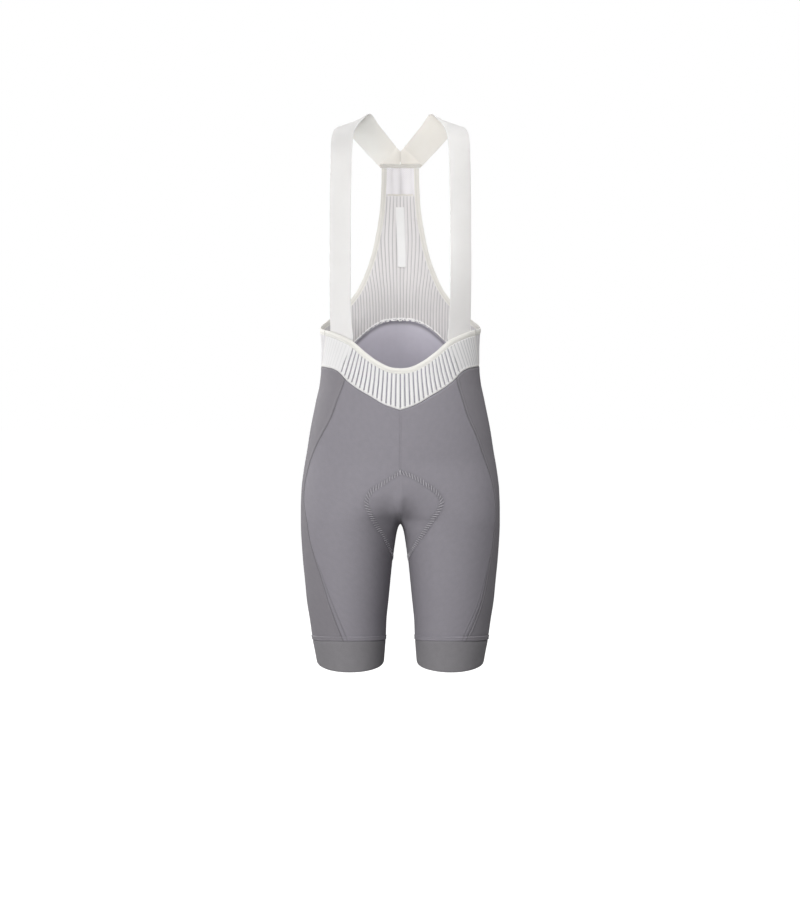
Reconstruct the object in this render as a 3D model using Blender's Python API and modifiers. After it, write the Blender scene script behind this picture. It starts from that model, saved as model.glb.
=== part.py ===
"""Cycling bib shorts, worn shape with no wearer in them.

The front faces -Y, the wearer's left is +X. The origin lies midway between the two shoulder straps,
3 mm above their highest edges. Every panel lies on one general figure, given as level sections, and
is cut out of it along named seams. Sizes below are in millimetres; the objects are built in metres.
"""

import math

import bpy
import numpy as np

MM = 0.001

# Cloth
KNIT_WALL = 1.2  # shorts panels
CUFF_WALL = 1.4  # doubled leg gripper
CUFF_RIDGE = 1.1  # rise of the gripper seam over the leg
MESH_WALL = 1.1  # bib mesh between its ribs
RIB_RISE = 0.6  # ribs over the mesh
STRAP_WALL = 1.2
BINDING_WALL = 2.2  # tape folded over the edge
BINDING_WIDTH = 8.2
BINDING_PROUD = 0.5  # tape outside the panel it binds
BINDING_CROWN = 0.35  # how much lower the tape's long edges lie than its middle
LIP_WALL = 1.2
LABEL_WALL = 0.8
SEAM_GAP = 0.3  # between neighbours at a seam
HEM_GAP = 0.7  # where the bib's many short edges meet the shorts' longer ones
CROTCH_EASE = 1.2  # more gap at the crotch, where the walls turn towards each other
LAY_GAP = 0.4  # between a piece and the panel it lies on
LIP_GAP = 0.8  # between the seam lip and the straps, which bend there

# General figure
CROTCH = -632.0  # where the two thighs first touch
CROTCH_ROUND = 12.0  # rounding between the thighs
CROTCH_STEP = 16.0  # first step down the inseam
SPLIT_RISE = 95.0  # height over which one body section turns into two thighs
SPLIT_POWER = 1.6
RELAX_ROUNDS = 5  # evening out of the points near the crotch
SECTIONS = (
    # height, reach from the middle, half gap between legs, depth in front, depth behind
    (-20, 132, 0, 60, 71),
    (-41, 135, 0, 64, 77),
    (-76, 138, 0, 72, 86),
    (-120, 139, 0, 78, 92),
    (-180, 136, 0, 84, 96),
    (-240, 130, 0, 84, 93),
    (-300, 126.5, 0, 84, 87),
    (-337, 125, 0, 86, 85),
    (-370, 123.2, 0, 88.5, 88),
    (-401, 123.4, 0, 91.5, 94),
    (-417, 124.8, 0, 93, 97),
    (-448, 131, 0, 97, 104),
    (-495, 140.4, 0, 100, 114),
    (-526, 145.2, 0, 101, 118.5),
    (-557, 150.5, 0, 101, 121),
    (-588, 154.2, 0, 100, 120.5),
    (-619, 155.2, 0, 97, 117),
    (-632, 155.2, 0, 95, 114.6),
    (-641, 155.2, 3, 93.5, 112.6),
    (-650, 155, 5.4, 92, 110.4),
    (-666, 154.2, 8.6, 90, 105.9),
    (-697, 152, 12.5, 86, 97),
    (-728, 149, 15.6, 82, 89),
    (-760, 146, 18.7, 77, 81),
    (-791, 141.2, 21.8, 72, 75),
    (-822, 136.8, 23, 67, 70),
    (-853, 131, 25, 63, 65),
    (-876, 127.5, 26.5, 61, 62),
)

# Seams and edges. A turn is in degrees round the body or leg, from centre front to centre back.
BOUND_EDGE = (
    # turn, height of the edge from centre front round the waist and up the armhole
    (0, -400),
    (7, -398),
    (16, -389),
    (26, -374.5),
    (36, -358.5),
    (47, -349),
    (60, -342.5),
    (76, -338.5),
    (90, -335.5),
    (103, -330),
    (117, -321),
    (130, -307),
    (141, -289),
    (148, -271),
    (155.4, -240),
    (160.6, -208),
    (164, -175),
    (166.3, -143),
    (167.2, -112),
    (167.5, -78.8),
)
HEM_OF_BIB = (
    # turn, height of the seam between bib and shorts
    (0, -463),
    (10, -455),
    (21, -441.5),
    (33, -428),
    (42, -416.5),
    (47, -408.5),
    (52, -403),
    (60, -399),
    (80, -396),
    (100, -391),
    (120, -379),
    (142, -359),
    (152, -343),
    (160, -331),
    (168, -323),
    (174, -320.5),
    (180, -320),
)
FRONT_SEAM = (
    # height, turn of the slanting seam between front and side panel on the left and on the right leg
    (-416, 43.5, 42.5),
    (-445, 46.3, 46.8),
    (-477, 49.8, 51.3),
    (-504, 55.5, 59),
    (-531, 60, 67),
    (-553, 63, 70.6),
    (-577, 65, 71.8),
    (-604, 65.3, 69.3),
    (-630, 61.5, 59.5),
    (-677, 55, 48),
    (-706, 50.2, 38.8),
    (-734, 45.8, 31.3),
    (-763, 40, 23.8),
    (-804, 26, 11.5),
    (-822, 19.5, 6.5),
)
SIDE_SEAM_TURN = {"top": 67.0, "bottom": 80.0}  # between front waistband and back bib
CUFF_SEAM = {"front": -817.0, "side": -821.5, "back": -820.0}
CUFF_HEM = {"front": -866.0, "side": -857.0, "back": -862.0}
NECK_SEAM = -120.5  # height between neck panel and ribbed bib
NECK_TOP = -78.5

# Ribs
FRONT_RIBS = 23  # each side of the middle
FRONT_FAN = (
    # rib, turn at the top edge, turn at the hem
    (0, 0, 0),
    (7, 20.6, 22.5),
    (13, 35.8, 44),
    (18, 51, 62.5),
    (23, 67, 80),
)
BACK_RIBS = 34  # each side of the middle
BACK_FAN = (
    # rib, turn from centre back at the hem
    (0, 0),
    (10, 25.8),
    (20, 54.5),
    (30, 87),
    (34, 100),
)
BACK_SQUEEZE = (
    # height, how far the ribs draw together
    (-330, 1.0),
    (-240, 0.94),
    (-180, 0.88),
    (-120, 0.76),
)

# Straps
STRAP_BASE = (
    # turn and height of the outer edge, then of the inner edge, inside the waistband
    (78.3, -391, 48.5, -401.5),
    (70, -370, 42.5, -384),
    (62.5, -350, 37.2, -366),
    (62.2, -337, 36.9, -352),
)
STRAP_INSET = 3.8  # middle of the strap inside the panel's face
STRAP_RUN = (
    # outer edge across, deep and up, then the inner edge
    (108.0, -43.0, -305, 75.3, -70.0, -312),
    (108.4, -48.5, -260, 76.0, -76.0, -262),
    (108.3, -51.0, -200, 76.0, -79.0, -200),
    (108.0, -51.0, -140, 75.5, -79.0, -140),
    (107.3, -49.0, -95, 74.6, -76.5, -95),
    (106.7, -43.5, -65, 73.6, -70.0, -62),
    (105.6, -31.0, -44, 70.8, -55.0, -39),
    (101.5, -9.0, -28.5, 65.0, -33.0, -24),
    (91.5, 12.0, -21.5, 56.5, -12.0, -11.5),
    (81.5, 29.0, -24, 47.2, 8.0, -2),
    (69.0, 48.0, -38, 34.5, 32.0, -17.5),
    (52.0, 67.0, -56.5, 20.5, 55.0, -33),
)
STRAP_BEND_ROW = 8  # row of the base and the run together where the shoulder bend starts
STRAP_END = (36.0, -73.0, 5.5, -43.0)  # outer then inner edge, across and up, on the back
STRAP_FOOT = -77.0  # level cut at the neck seam

LABEL_FRAME = {"top": -140.0, "bottom": -236.0, "left": -4.5, "right": 8.0, "lean": 3.5}
LIP_FRAME = {"half_width": 33.0, "top": -69.5, "bottom": -77.9}
NECK_FOLDS = {"count": 3, "depth": 1.6, "strength": (0.6, 1, 0.9, 0.3)}  # strength from the top

COLOURS = {
    # red, green, blue as linear values, then roughness
    "grey_knit": (0.275, 0.258, 0.283, 0.62),
    "white_mesh": (0.86, 0.86, 0.87, 0.7),
    "strap_elastic": (0.8, 0.79, 0.77, 0.55),
    "cream_binding": (0.8, 0.79, 0.73, 0.6),
    "label": (0.9, 0.9, 0.89, 0.5),
}


def through(rows, at, limited=True):
    """Smooth curve through a table's rows, whose first column is where each row stands."""
    table = np.array(rows, dtype=float)
    table = table[np.argsort(table[:, 0])]
    knots, values = table[:, 0], table[:, 1:]
    at = np.clip(np.asarray(at, dtype=float), knots[0], knots[-1])
    step = np.diff(knots)[:, None]
    rise = np.diff(values, axis=0) / step
    slope = np.vstack([rise[:1], (rise[:-1] + rise[1:]) / 2, rise[-1:]])
    if limited:
        same = rise[:-1] * rise[1:] > 0
        total = np.where(same, rise[:-1] + rise[1:], 1.0)
        slope[1:-1] = np.where(same, 2 * rise[:-1] * rise[1:] / total, 0.0)
    i = np.clip(np.searchsorted(knots, at, side="right") - 1, 0, len(knots) - 2)
    wide = step[i]
    t = ((at - knots[i]) / wide[..., 0])[..., None]
    return (
        (1 + 2 * t) * (1 - t) ** 2 * values[i]
        + t * (1 - t) ** 2 * wide * slope[i]
        + t**2 * (3 - 2 * t) * values[i + 1]
        + t**2 * (t - 1) * wide * slope[i + 1]
    )


def lobes(height):
    """Centre, half width, front and back depth of one side's section at each height."""
    reach, gap, front, back = np.moveaxis(through(SECTIONS, height), -1, 0)
    share = np.clip((height - CROTCH) / SPLIT_RISE, 0, 1)
    ratio = (1 - share) ** SPLIT_POWER
    above = height > CROTCH
    half = np.where(above, reach / (1 + ratio), (reach - gap) / 2)
    centre = np.where(above, ratio * half, (reach + gap) / 2)
    return centre, half, front, back


def distance(points):
    """Distance out of the figure, in millimetres, close to its skin."""
    x, y, z = np.moveaxis(points, -1, 0)
    centre, half, front, back = lobes(z)
    depth = np.where(y < 0, front, back)

    def one_side(across):
        away = np.hypot(across / half, y / depth)
        steep = np.hypot(across / half**2, y / depth**2)
        return away * (away - 1) / np.maximum(steep, 1e-9)

    left, right = one_side(x - centre), one_side(x + centre)
    soft = CROTCH_ROUND * np.clip(2 * centre / half, 0, 1) + 1e-6
    near = np.clip(soft - np.abs(left - right), 0, None) / soft
    return np.minimum(left, right) - near**2 * soft / 4


def outward(points):
    """Unit direction out of the figure."""
    small = 0.02
    slope = np.stack(
        [
            distance(points + small * axis) - distance(points - small * axis)
            for axis in np.eye(3)
        ],
        axis=-1,
    )
    return slope / np.linalg.norm(slope, axis=-1, keepdims=True)


def settled(points):
    """The points moved on to the figure's skin."""
    points = np.array(points, dtype=float)
    for _ in range(8):
        points = points - distance(points)[..., None] * outward(points)
    return points


def on_figure(turn, height, side=1):
    """Points on the skin at a turn in degrees, where above 180 is past the centre back."""
    turn, height = np.broadcast_arrays(
        np.asarray(turn, dtype=float), np.asarray(height, dtype=float)
    )
    centre, half, front, back = lobes(height)
    angle = np.radians(turn)
    depth = np.where(np.cos(angle) > 0, front, back)
    across = centre + half * np.sin(angle)
    points = np.stack([across, -depth * np.cos(angle), height], axis=-1)
    points = settled(points)
    points[..., 0] *= side
    return points


def inner_turn(height):
    """Turn at which one side's section meets the middle: 0 on the body, -90 down the inseam."""
    centre, half, _, _ = lobes(height)
    return -np.degrees(np.arcsin(np.clip(centre / half, 0, 1)))


def patch(top, bottom, start, end):
    """Grid of turns and heights between four seams that share their corners."""
    u = np.linspace(0, 1, len(top))[None, :, None]
    v = np.linspace(0, 1, len(start))[:, None, None]
    across = (1 - u) * start[:, None] + u * end[:, None]
    down = (1 - v) * top[None] + v * bottom[None]
    corners = (1 - v) * ((1 - u) * top[0] + u * top[-1])
    corners = corners + v * ((1 - u) * bottom[0] + u * bottom[-1])
    return across + down - corners


def relaxed(grid):
    """Spreads the points inside a panel evenly over the skin, its edges kept."""
    for _ in range(RELAX_ROUNDS):
        around = grid[:-2, 1:-1] + grid[2:, 1:-1] + grid[1:-1, :-2] + grid[1:-1, 2:]
        grid[1:-1, 1:-1] = settled(around / 4)
    return grid


def inset(grid, gap, edges="tblr"):
    """Draws a grid's edges in from its seams by half the gap."""
    moved = grid.copy()
    rims = {
        "t": (np.s_[0], np.s_[1]),
        "b": (np.s_[-1], np.s_[-2]),
        "l": (np.s_[:, 0], np.s_[:, 1]),
        "r": (np.s_[:, -1], np.s_[:, -2]),
    }
    for edge in edges:
        rim, nxt = rims[edge]
        line, inside = grid[rim], grid[nxt]
        tight = CROTCH_EASE * np.exp(-(((line[:, 2:] - CROTCH) / CROTCH_ROUND) ** 2))
        along = np.gradient(line, axis=0)
        along /= np.linalg.norm(along, axis=1, keepdims=True)
        step = inside - line
        step -= (step * along).sum(1, keepdims=True) * along
        step /= np.linalg.norm(step, axis=1, keepdims=True)
        moved[rim] += step * (gap + tight) / 2
    return moved


def moved_out(points, amount):
    """Points moved along the figure's outward direction, by one amount or one for each point."""
    amount = np.asarray(amount, dtype=float)
    return points + outward(points) * (amount[..., None] if amount.ndim else amount)


def material(name):
    red, green, blue, rough = COLOURS[name]
    made = bpy.data.materials.get(name) or bpy.data.materials.new(name)
    made.use_nodes = True
    shader = made.node_tree.nodes["Principled BSDF"]
    shader.inputs["Base Color"].default_value = (red, green, blue, 1)
    shader.inputs["Roughness"].default_value = rough
    shader.inputs["Metallic"].default_value = 0
    made.diffuse_color = (red, green, blue, 1)
    return made


def sheet(name, grid, wall, finish, side=-1, facing=None, ring=False, relief=None):
    """One piece of cloth: an open surface through a grid of points, with a Solidify wall.

    side -1 puts the wall inside the points, 1 outside and 0 both ways. relief is a grid from 0 to 1
    whose highest points rise RIB_RISE over the wall. ring joins the last column to the first.
    """
    rows, columns = grid.shape[:2]
    step = columns if ring else columns - 1
    faces = [
        (
            r * columns + c,
            r * columns + (c + 1) % columns,
            (r + 1) * columns + (c + 1) % columns,
            (r + 1) * columns + c,
        )
        for r in range(rows - 1)
        for c in range(step)
    ]
    middle_row, middle_column = (rows - 1) // 2, (columns - 1) // 2
    here = grid[middle_row, middle_column]
    normal = np.cross(
        grid[middle_row, middle_column + 1] - here, grid[middle_row + 1, middle_column] - here
    )
    out = outward(here) if facing is None else facing
    if np.dot(normal, out) < 0:
        faces = [face[::-1] for face in faces]
    mesh = bpy.data.meshes.new(name)
    mesh.from_pydata((grid.reshape(-1, 3) * MM).tolist(), [], faces)
    mesh.shade_smooth()
    piece = bpy.data.objects.new(name, mesh)
    collection.objects.link(piece)
    mesh.materials.append(material(finish))
    solid = piece.modifiers.new("wall", "SOLIDIFY")
    solid.thickness = wall * MM
    solid.offset = side
    solid.use_even_offset = True
    solid.use_quality_normals = True
    if relief is not None:
        group = piece.vertex_groups.new(name="ribs")
        for index, share in enumerate(relief.reshape(-1)):
            group.add([index], float(share), "REPLACE")
        solid.thickness = (wall + RIB_RISE) * MM
        solid.vertex_group = group.name
        solid.thickness_vertex_group = wall / (wall + RIB_RISE)
    return piece


def hem_height(turn):
    return through(HEM_OF_BIB, turn)[..., 0]


def ring_height(levels, turn):
    """Level of a leg seam that hangs lower or higher in front, at the sides and behind."""
    front_share = np.cos(np.radians(turn))
    ends = np.where(front_share > 0, levels["front"], levels["back"])
    return levels["side"] + (ends - levels["side"]) * np.abs(front_share) ** 1.5


def easing(count):
    """Steps that draw together towards the crotch, where the seam turns under."""
    return np.sin(np.linspace(0, math.pi / 2, count + 1))


def seam_line(top, rows_above, rows_below, turn_of):
    """Turns and heights down the middle seam and then down the inseam."""
    above = top + (CROTCH - top) * easing(rows_above)
    below = np.linspace(CROTCH - CROTCH_STEP, CUFF_SEAM["side"], rows_below)
    height = np.concatenate([above, below])
    height[0] = top
    return np.stack([turn_of(height), height], axis=-1)


def shorts_panels(side, name):
    """Front panel, and the side and back panel, of one leg."""
    seam_column = {"left": 0, "right": 1}[name]
    rows_above, rows_below = 11, 8
    front_columns, back_columns = 11, 23
    count = rows_above + rows_below
    seam_top = FRONT_SEAM[0][1 + seam_column]
    seam_low = FRONT_SEAM[-1][0]
    front_middle = seam_line(hem_height(0.0), rows_above, rows_below, inner_turn)
    back_middle = seam_line(
        hem_height(180.0), rows_above, rows_below, lambda z: 180 - inner_turn(z)
    )
    slant_height = np.linspace(hem_height(seam_top), seam_low, count + 1)
    slant_turn = through(FRONT_SEAM, slant_height)[:, seam_column]
    slant = np.stack([slant_turn, slant_height], axis=-1)

    def along_hem(start, end, steps):
        turn = np.linspace(start, end, steps)
        return np.stack([turn, hem_height(turn)], axis=-1)

    def along_cuff(start, end, steps):
        turn = np.linspace(start, end, steps)
        return np.stack([turn, ring_height(CUFF_SEAM, turn)], axis=-1)

    slant_foot = slant[-1, 0]
    slant[-1, 1] = ring_height(CUFF_SEAM, slant_foot)
    front = patch(
        along_hem(0, seam_top, front_columns),
        along_cuff(-90, slant_foot, front_columns),
        front_middle,
        slant,
    )
    back = patch(
        along_hem(seam_top, 180, back_columns),
        along_cuff(slant_foot, 270, back_columns),
        slant,
        back_middle,
    )
    for part, cut in (("front", front), ("back", back)):
        grid = on_figure(cut[..., 0], cut[..., 1])
        grid[..., 0] = np.maximum(grid[..., 0], 0)
        middle = grid[: rows_above + 1, 0 if part == "front" else -1]
        middle[:, 0] = 0
        grid = inset(inset(relaxed(grid), SEAM_GAP, "blr"), HEM_GAP, "t")
        grid[..., 0] = np.maximum(grid[..., 0], SEAM_GAP / 2)
        grid[..., 0] *= side
        sheet(f"{part}_{name}", grid, KNIT_WALL, "grey_knit")


def cuff(side, name):
    """Leg gripper: a tube whose top edge stands proud as the seam ridge."""
    turn = np.linspace(-90, 270, 24, endpoint=False)
    top, low = ring_height(CUFF_SEAM, turn), ring_height(CUFF_HEM, turn)
    shape = (
        # share of the way down, how far it stands out
        (0.0, 0.35),
        (0.04, CUFF_RIDGE),
        (0.11, CUFF_RIDGE),
        (0.17, 0.3),
        (0.45, 0.0),
        (0.8, 0.0),
        (1.0, -0.8),
    )
    grid = []
    for share, rise in shape:
        height = top + (low - top) * share - (SEAM_GAP if share == 0 else 0)
        grid.append(moved_out(on_figure(turn, height), rise))
    grid = np.array(grid)
    grid[..., 0] *= side
    sheet(f"cuff_{name}", grid, CUFF_WALL, "grey_knit", ring=True)


def edge_lines():
    """The bound edge and the line where the tape ends, from centre front to the neck."""
    rows = np.array(BOUND_EDGE, dtype=float)
    rough = on_figure(rows[:, 0], rows[:, 1])
    length = np.concatenate([[0], np.cumsum(np.linalg.norm(np.diff(rough, axis=0), axis=1))])
    table = np.column_stack([length, rows])
    at = np.linspace(0, length[-1], 61)
    turn, height = through(table, at, limited=False).T
    edge = on_figure(turn, height)
    along = np.gradient(edge, axis=0)
    along[0] = (1, 0, 0)
    along /= np.linalg.norm(along, axis=1, keepdims=True)
    inward = np.cross(along, outward(edge))
    inward *= np.sign((inward * (0, 0, -1)).sum(1))[0]
    return edge, inward


def turn_of(points):
    """Turn in degrees of points on the body above the legs."""
    x, y, z = np.moveaxis(points, -1, 0)
    _, half, front, back = lobes(z)
    depth = np.where(y < 0, front, back)
    return np.degrees(np.arctan2(x / half, -y / depth))


def binding_band(start, end):
    """Grid of the tape between two places along the bound edge, with a slight crown."""
    edge, inward = edge_lines()
    grid = []
    for share, drop in ((0.0, BINDING_CROWN), (0.5, 0.0), (1.0, BINDING_CROWN)):
        line = settled(edge + inward * BINDING_WIDTH * share)
        grid.append(moved_out(line, BINDING_PROUD - drop))
    return np.array(grid)[:, start:end]


def side_seam_station():
    """Place along the bound edge where the side seam meets it."""
    edge, _ = edge_lines()
    return int(np.argmin(np.abs(turn_of(edge) - SIDE_SEAM_TURN["top"])))


def bindings():
    meet = side_seam_station()
    half = binding_band(0, meet + 1)
    left = inset(half, SEAM_GAP, "r")
    right = left[:, :0:-1] * np.array([-1, 1, 1])
    waist = np.concatenate([right, left], axis=1)
    sheet("binding_waist", waist, BINDING_WALL, "cream_binding")
    for side, name in ((1, "left"), (-1, "right")):
        grid = inset(binding_band(meet, None), SEAM_GAP, "lr")
        grid = grid * np.array([side, 1, 1])
        sheet(f"binding_{name}", grid, BINDING_WALL, "cream_binding")


def panel_top(turn):
    """Height of a bib panel's edge under the tape, by turn."""
    edge, inward = edge_lines()
    line = settled(edge + inward * (BINDING_WIDTH + SEAM_GAP))
    turns = turn_of(line)
    order = np.argsort(turns)
    return np.interp(turn, turns[order], line[order, 2])


def front_waistband():
    """Curved mesh band whose ribs fan out from the top edge to the hem."""
    ribs = np.arange(-FRONT_RIBS * 3, FRONT_RIBS * 3 + 1) / 3
    fan = through(FRONT_FAN, np.abs(ribs))
    side = np.where(ribs < 0, -1.0, 1.0)
    relief = np.where(np.isclose(ribs % 1, 0) | np.isclose(ribs % 1, 1), 0.0, 1.0)
    top = np.stack([fan[:, 0], panel_top(fan[:, 0])], axis=-1)
    low = np.stack([fan[:, 1], hem_height(fan[:, 1])], axis=-1)
    share = np.linspace(0, 1, 3)[:, None, None]
    cut = top * (1 - share) + low * share
    grid = on_figure(cut[..., 0], cut[..., 1])
    grid[..., 0] *= side
    grid = inset(grid, SEAM_GAP, "blr")
    flat = moved_out(grid, -MESH_WALL)
    weights = np.tile(relief, (len(grid), 1))
    weights[:, [0, -1]] = 0
    sheet("front_waistband", flat, MESH_WALL, "white_mesh", side=1, relief=weights)


def back_bib():
    """Ribbed back, one column for each rib line and crest, cut off by the armhole tape."""
    ribs = np.arange(-BACK_RIBS * 2, BACK_RIBS * 2 + 1) / 2
    side = np.where(ribs < 0, -1.0, 1.0)
    base = through(BACK_FAN, np.abs(ribs))[:, 0]
    hem = hem_height(180 - base)
    lean = (180 - SIDE_SEAM_TURN["top"] - base[-1]) * (np.abs(ribs) / BACK_RIBS) ** 6

    seam_rise = panel_top(SIDE_SEAM_TURN["top"]) - hem_height(SIDE_SEAM_TURN["bottom"])

    def turn_at(height):
        squeeze = through(BACK_SQUEEZE, height)[..., 0]
        return base * squeeze + lean * np.clip((height - hem) / seam_rise, 0, 1)

    low, high = hem.copy(), np.full_like(hem, NECK_SEAM)
    for _ in range(40):
        middle = (low + high) / 2
        under = middle < panel_top(180 - turn_at(middle))
        low, high = np.where(under, middle, low), np.where(under, high, middle)
    share = np.linspace(0, 1, 7)[:, None]
    height = low * (1 - share) + hem * share
    turn = 180 - np.array([turn_at(row) for row in height])
    grid = on_figure(turn, height)
    grid[..., 0] *= side
    grid = inset(grid, SEAM_GAP, "blr")
    grid = inset(grid, SEAM_GAP * 2, "t")
    flat = moved_out(grid, -MESH_WALL)
    relief = np.where(np.isclose(ribs % 1, 0.5), 1.0, 0.0)
    weights = np.tile(relief, (len(grid), 1))
    weights[:, [0, -1]] = 0
    sheet("back_bib", flat, MESH_WALL, "white_mesh", side=1, relief=weights)


def neck_panel():
    """Small mesh panel between the straps' join and the ribbed back, in soft upright folds."""
    levels = np.linspace(NECK_TOP, NECK_SEAM, len(NECK_FOLDS["strength"]))
    across = np.linspace(-1, 1, 6 * NECK_FOLDS["count"] - 5)
    turn = 180 - panel_edge_at_neck(levels)[:, None] * across[None, :]
    height = levels[:, None] + 0 * turn
    mirrored = turn > 180
    grid = on_figure(np.where(mirrored, 360 - turn, turn), height)
    grid[..., 0] *= np.where(mirrored, -1, 1)
    grid = inset(grid, SEAM_GAP, "tblr")
    wave = np.cos(across * math.pi * (NECK_FOLDS["count"] - 1)) * (1 - across**4)
    held = np.array(NECK_FOLDS["strength"])[:, None]
    grid = moved_out(grid, -NECK_FOLDS["depth"] / 2 * (1 + wave * held))
    sheet("neck_panel", grid, MESH_WALL, "white_mesh")


def panel_edge_at_neck(height):
    """Turn from centre back of the tape's inner line, by height."""
    edge, inward = edge_lines()
    line = settled(edge + inward * (BINDING_WIDTH + SEAM_GAP))
    order = np.argsort(line[:, 2])
    return 180 - np.interp(height, line[order, 2], turn_of(line)[order])


def strap(side, name):
    """Flat elastic: sewn inside the waistband, over the shoulder and mitred at the centre back."""
    base = []
    for outer_turn, outer_height, inner_turn_, inner_height in STRAP_BASE:
        ends = on_figure([outer_turn, inner_turn_], [outer_height, inner_height])
        base.append((ends - outward(ends) * STRAP_INSET).reshape(-1))
    outer_x, outer_z, inner_x, inner_z = STRAP_END
    end = settled_back(np.array([[outer_x, outer_z], [inner_x, inner_z]]))
    rows = np.array(base + list(STRAP_RUN) + [end.reshape(-1)])
    middle = (rows[:, :3] + rows[:, 3:]) / 2
    length = np.concatenate([[0], np.cumsum(np.linalg.norm(np.diff(middle, axis=0), axis=1))])
    bend = length[STRAP_BEND_ROW]
    straight, bent = np.linspace(0, bend, 13), np.linspace(bend, length[-1], 17)
    at = np.concatenate([straight, bent[1:]])
    lines = through(np.column_stack([length, rows]), at, limited=False)
    outer, inner = lines[:, None, :3], lines[:, None, 3:]
    share = np.array([0.0, 0.25, 0.5, 0.75, 1.0])[None, :, None]
    grid = outer + (inner - outer) * share
    aim = grid[-1] - grid[-2]
    aim /= np.linalg.norm(aim, axis=1, keepdims=True)
    reach = np.minimum(
        (grid[-1, :, 2] - STRAP_FOOT) / -aim[:, 2],
        (grid[-1, :, 0] - SEAM_GAP / 2) / -aim[:, 0],
    )
    last = grid[-1] + aim * reach[:, None]
    grid[-1] = settled_back(grid[-1][:, [0, 2]])
    grid = np.concatenate([grid, settled_back(last[:, [0, 2]])[None]])
    grid[..., 0] *= side
    outside = np.array([side * 0.6, -0.5, 0.6])
    sheet(f"strap_{name}", grid, STRAP_WALL, "strap_elastic", side=0, facing=outside)


def settled_back(across_and_height):
    """Points on the figure's back, by how far across and how high they are."""
    x, z = across_and_height.T
    _, half, _, back = lobes(z)
    return np.stack([x, back * np.sqrt(1 - (x / half) ** 2), z], axis=-1)


def back_patch(left, right, top, bottom, columns, rows, lean=0.0):
    """Small grid on the back, given by its sides as seen from the front."""
    x = np.linspace(left, right, columns)[None, :] + np.linspace(0, lean, rows)[:, None]
    z = np.linspace(top, bottom, rows)[:, None] + 0 * x
    flat = settled_back(np.stack([x.ravel(), z.ravel()], axis=-1))
    return flat.reshape(rows, columns, 3)


def strap_lip():
    half = LIP_FRAME["half_width"]
    grid = back_patch(-half, half, LIP_FRAME["top"], LIP_FRAME["bottom"], 9, 2)
    grid = moved_out(grid, -STRAP_WALL / 2 - LIP_GAP)
    sheet("strap_lip", grid, LIP_WALL, "cream_binding")


def label():
    frame = LABEL_FRAME
    grid = back_patch(
        frame["left"], frame["right"], frame["top"], frame["bottom"], 3, 7, frame["lean"]
    )
    grid = moved_out(grid, -MESH_WALL - LAY_GAP)
    sheet("label", grid, LABEL_WALL, "label")


for old in list(bpy.data.objects):
    bpy.data.objects.remove(old)
collection = bpy.data.collections.new("bib_shorts")
bpy.context.scene.collection.children.link(collection)

for side, name in ((1, "left"), (-1, "right")):
    shorts_panels(side, name)
    cuff(side, name)
    strap(side, name)
front_waistband()
back_bib()
bindings()
neck_panel()
strap_lip()
label()
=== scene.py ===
import math

import bpy
import numpy as np
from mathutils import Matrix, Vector


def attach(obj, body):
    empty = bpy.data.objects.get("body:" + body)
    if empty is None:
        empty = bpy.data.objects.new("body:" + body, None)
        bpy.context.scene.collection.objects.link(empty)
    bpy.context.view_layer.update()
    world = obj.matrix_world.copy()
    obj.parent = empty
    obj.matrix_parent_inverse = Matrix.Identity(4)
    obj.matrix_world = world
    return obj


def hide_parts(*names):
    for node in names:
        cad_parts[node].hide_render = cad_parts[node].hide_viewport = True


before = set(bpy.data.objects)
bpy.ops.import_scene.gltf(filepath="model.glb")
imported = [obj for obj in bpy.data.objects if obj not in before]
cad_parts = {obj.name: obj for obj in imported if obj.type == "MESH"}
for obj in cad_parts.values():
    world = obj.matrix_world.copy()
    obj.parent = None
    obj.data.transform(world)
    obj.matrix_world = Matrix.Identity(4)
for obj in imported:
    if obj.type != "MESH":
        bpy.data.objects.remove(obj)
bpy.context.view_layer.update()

# Cycling bib shorts. Sizes are in millimetres until a mesh is made; the front faces -Y and the
# wearer's left is +X. Every panel lies on one figure, the same one as the solids.
mm = 0.001

figure = {
    "crotch": -632.0, "crotchRound": 12.0, "splitRise": 95.0, "splitPower": 1.6,
    "sections": (
        # height, reach from the middle, half gap between legs, depth in front, depth behind
        (-20, 132, 0, 60, 71), (-41, 135, 0, 64, 77), (-76, 138, 0, 72, 86), (-120, 139, 0, 78, 92),
        (-180, 136, 0, 84, 96), (-240, 130, 0, 84, 93), (-300, 126.5, 0, 84, 87),
        (-337, 125, 0, 86, 85), (-370, 123.2, 0, 88.5, 88), (-401, 123.4, 0, 91.5, 94),
        (-417, 124.8, 0, 93, 97), (-448, 131, 0, 97, 104), (-495, 140.4, 0, 100, 114),
        (-526, 145.2, 0, 101, 118.5), (-557, 150.5, 0, 101, 121), (-588, 154.2, 0, 100, 120.5),
        (-619, 155.2, 0, 97, 117), (-632, 155.2, 0, 95, 114.6), (-641, 155.2, 3, 93.5, 112.6),
        (-650, 155, 5.4, 92, 110.4), (-666, 154.2, 8.6, 90, 105.9), (-697, 152, 12.5, 86, 97),
        (-728, 149, 15.6, 82, 89), (-760, 146, 18.7, 77, 81), (-791, 141.2, 21.8, 72, 75),
        (-822, 136.8, 23, 67, 70), (-853, 131, 25, 63, 65), (-876, 127.5, 26.5, 61, 62),
    ),
}

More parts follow.
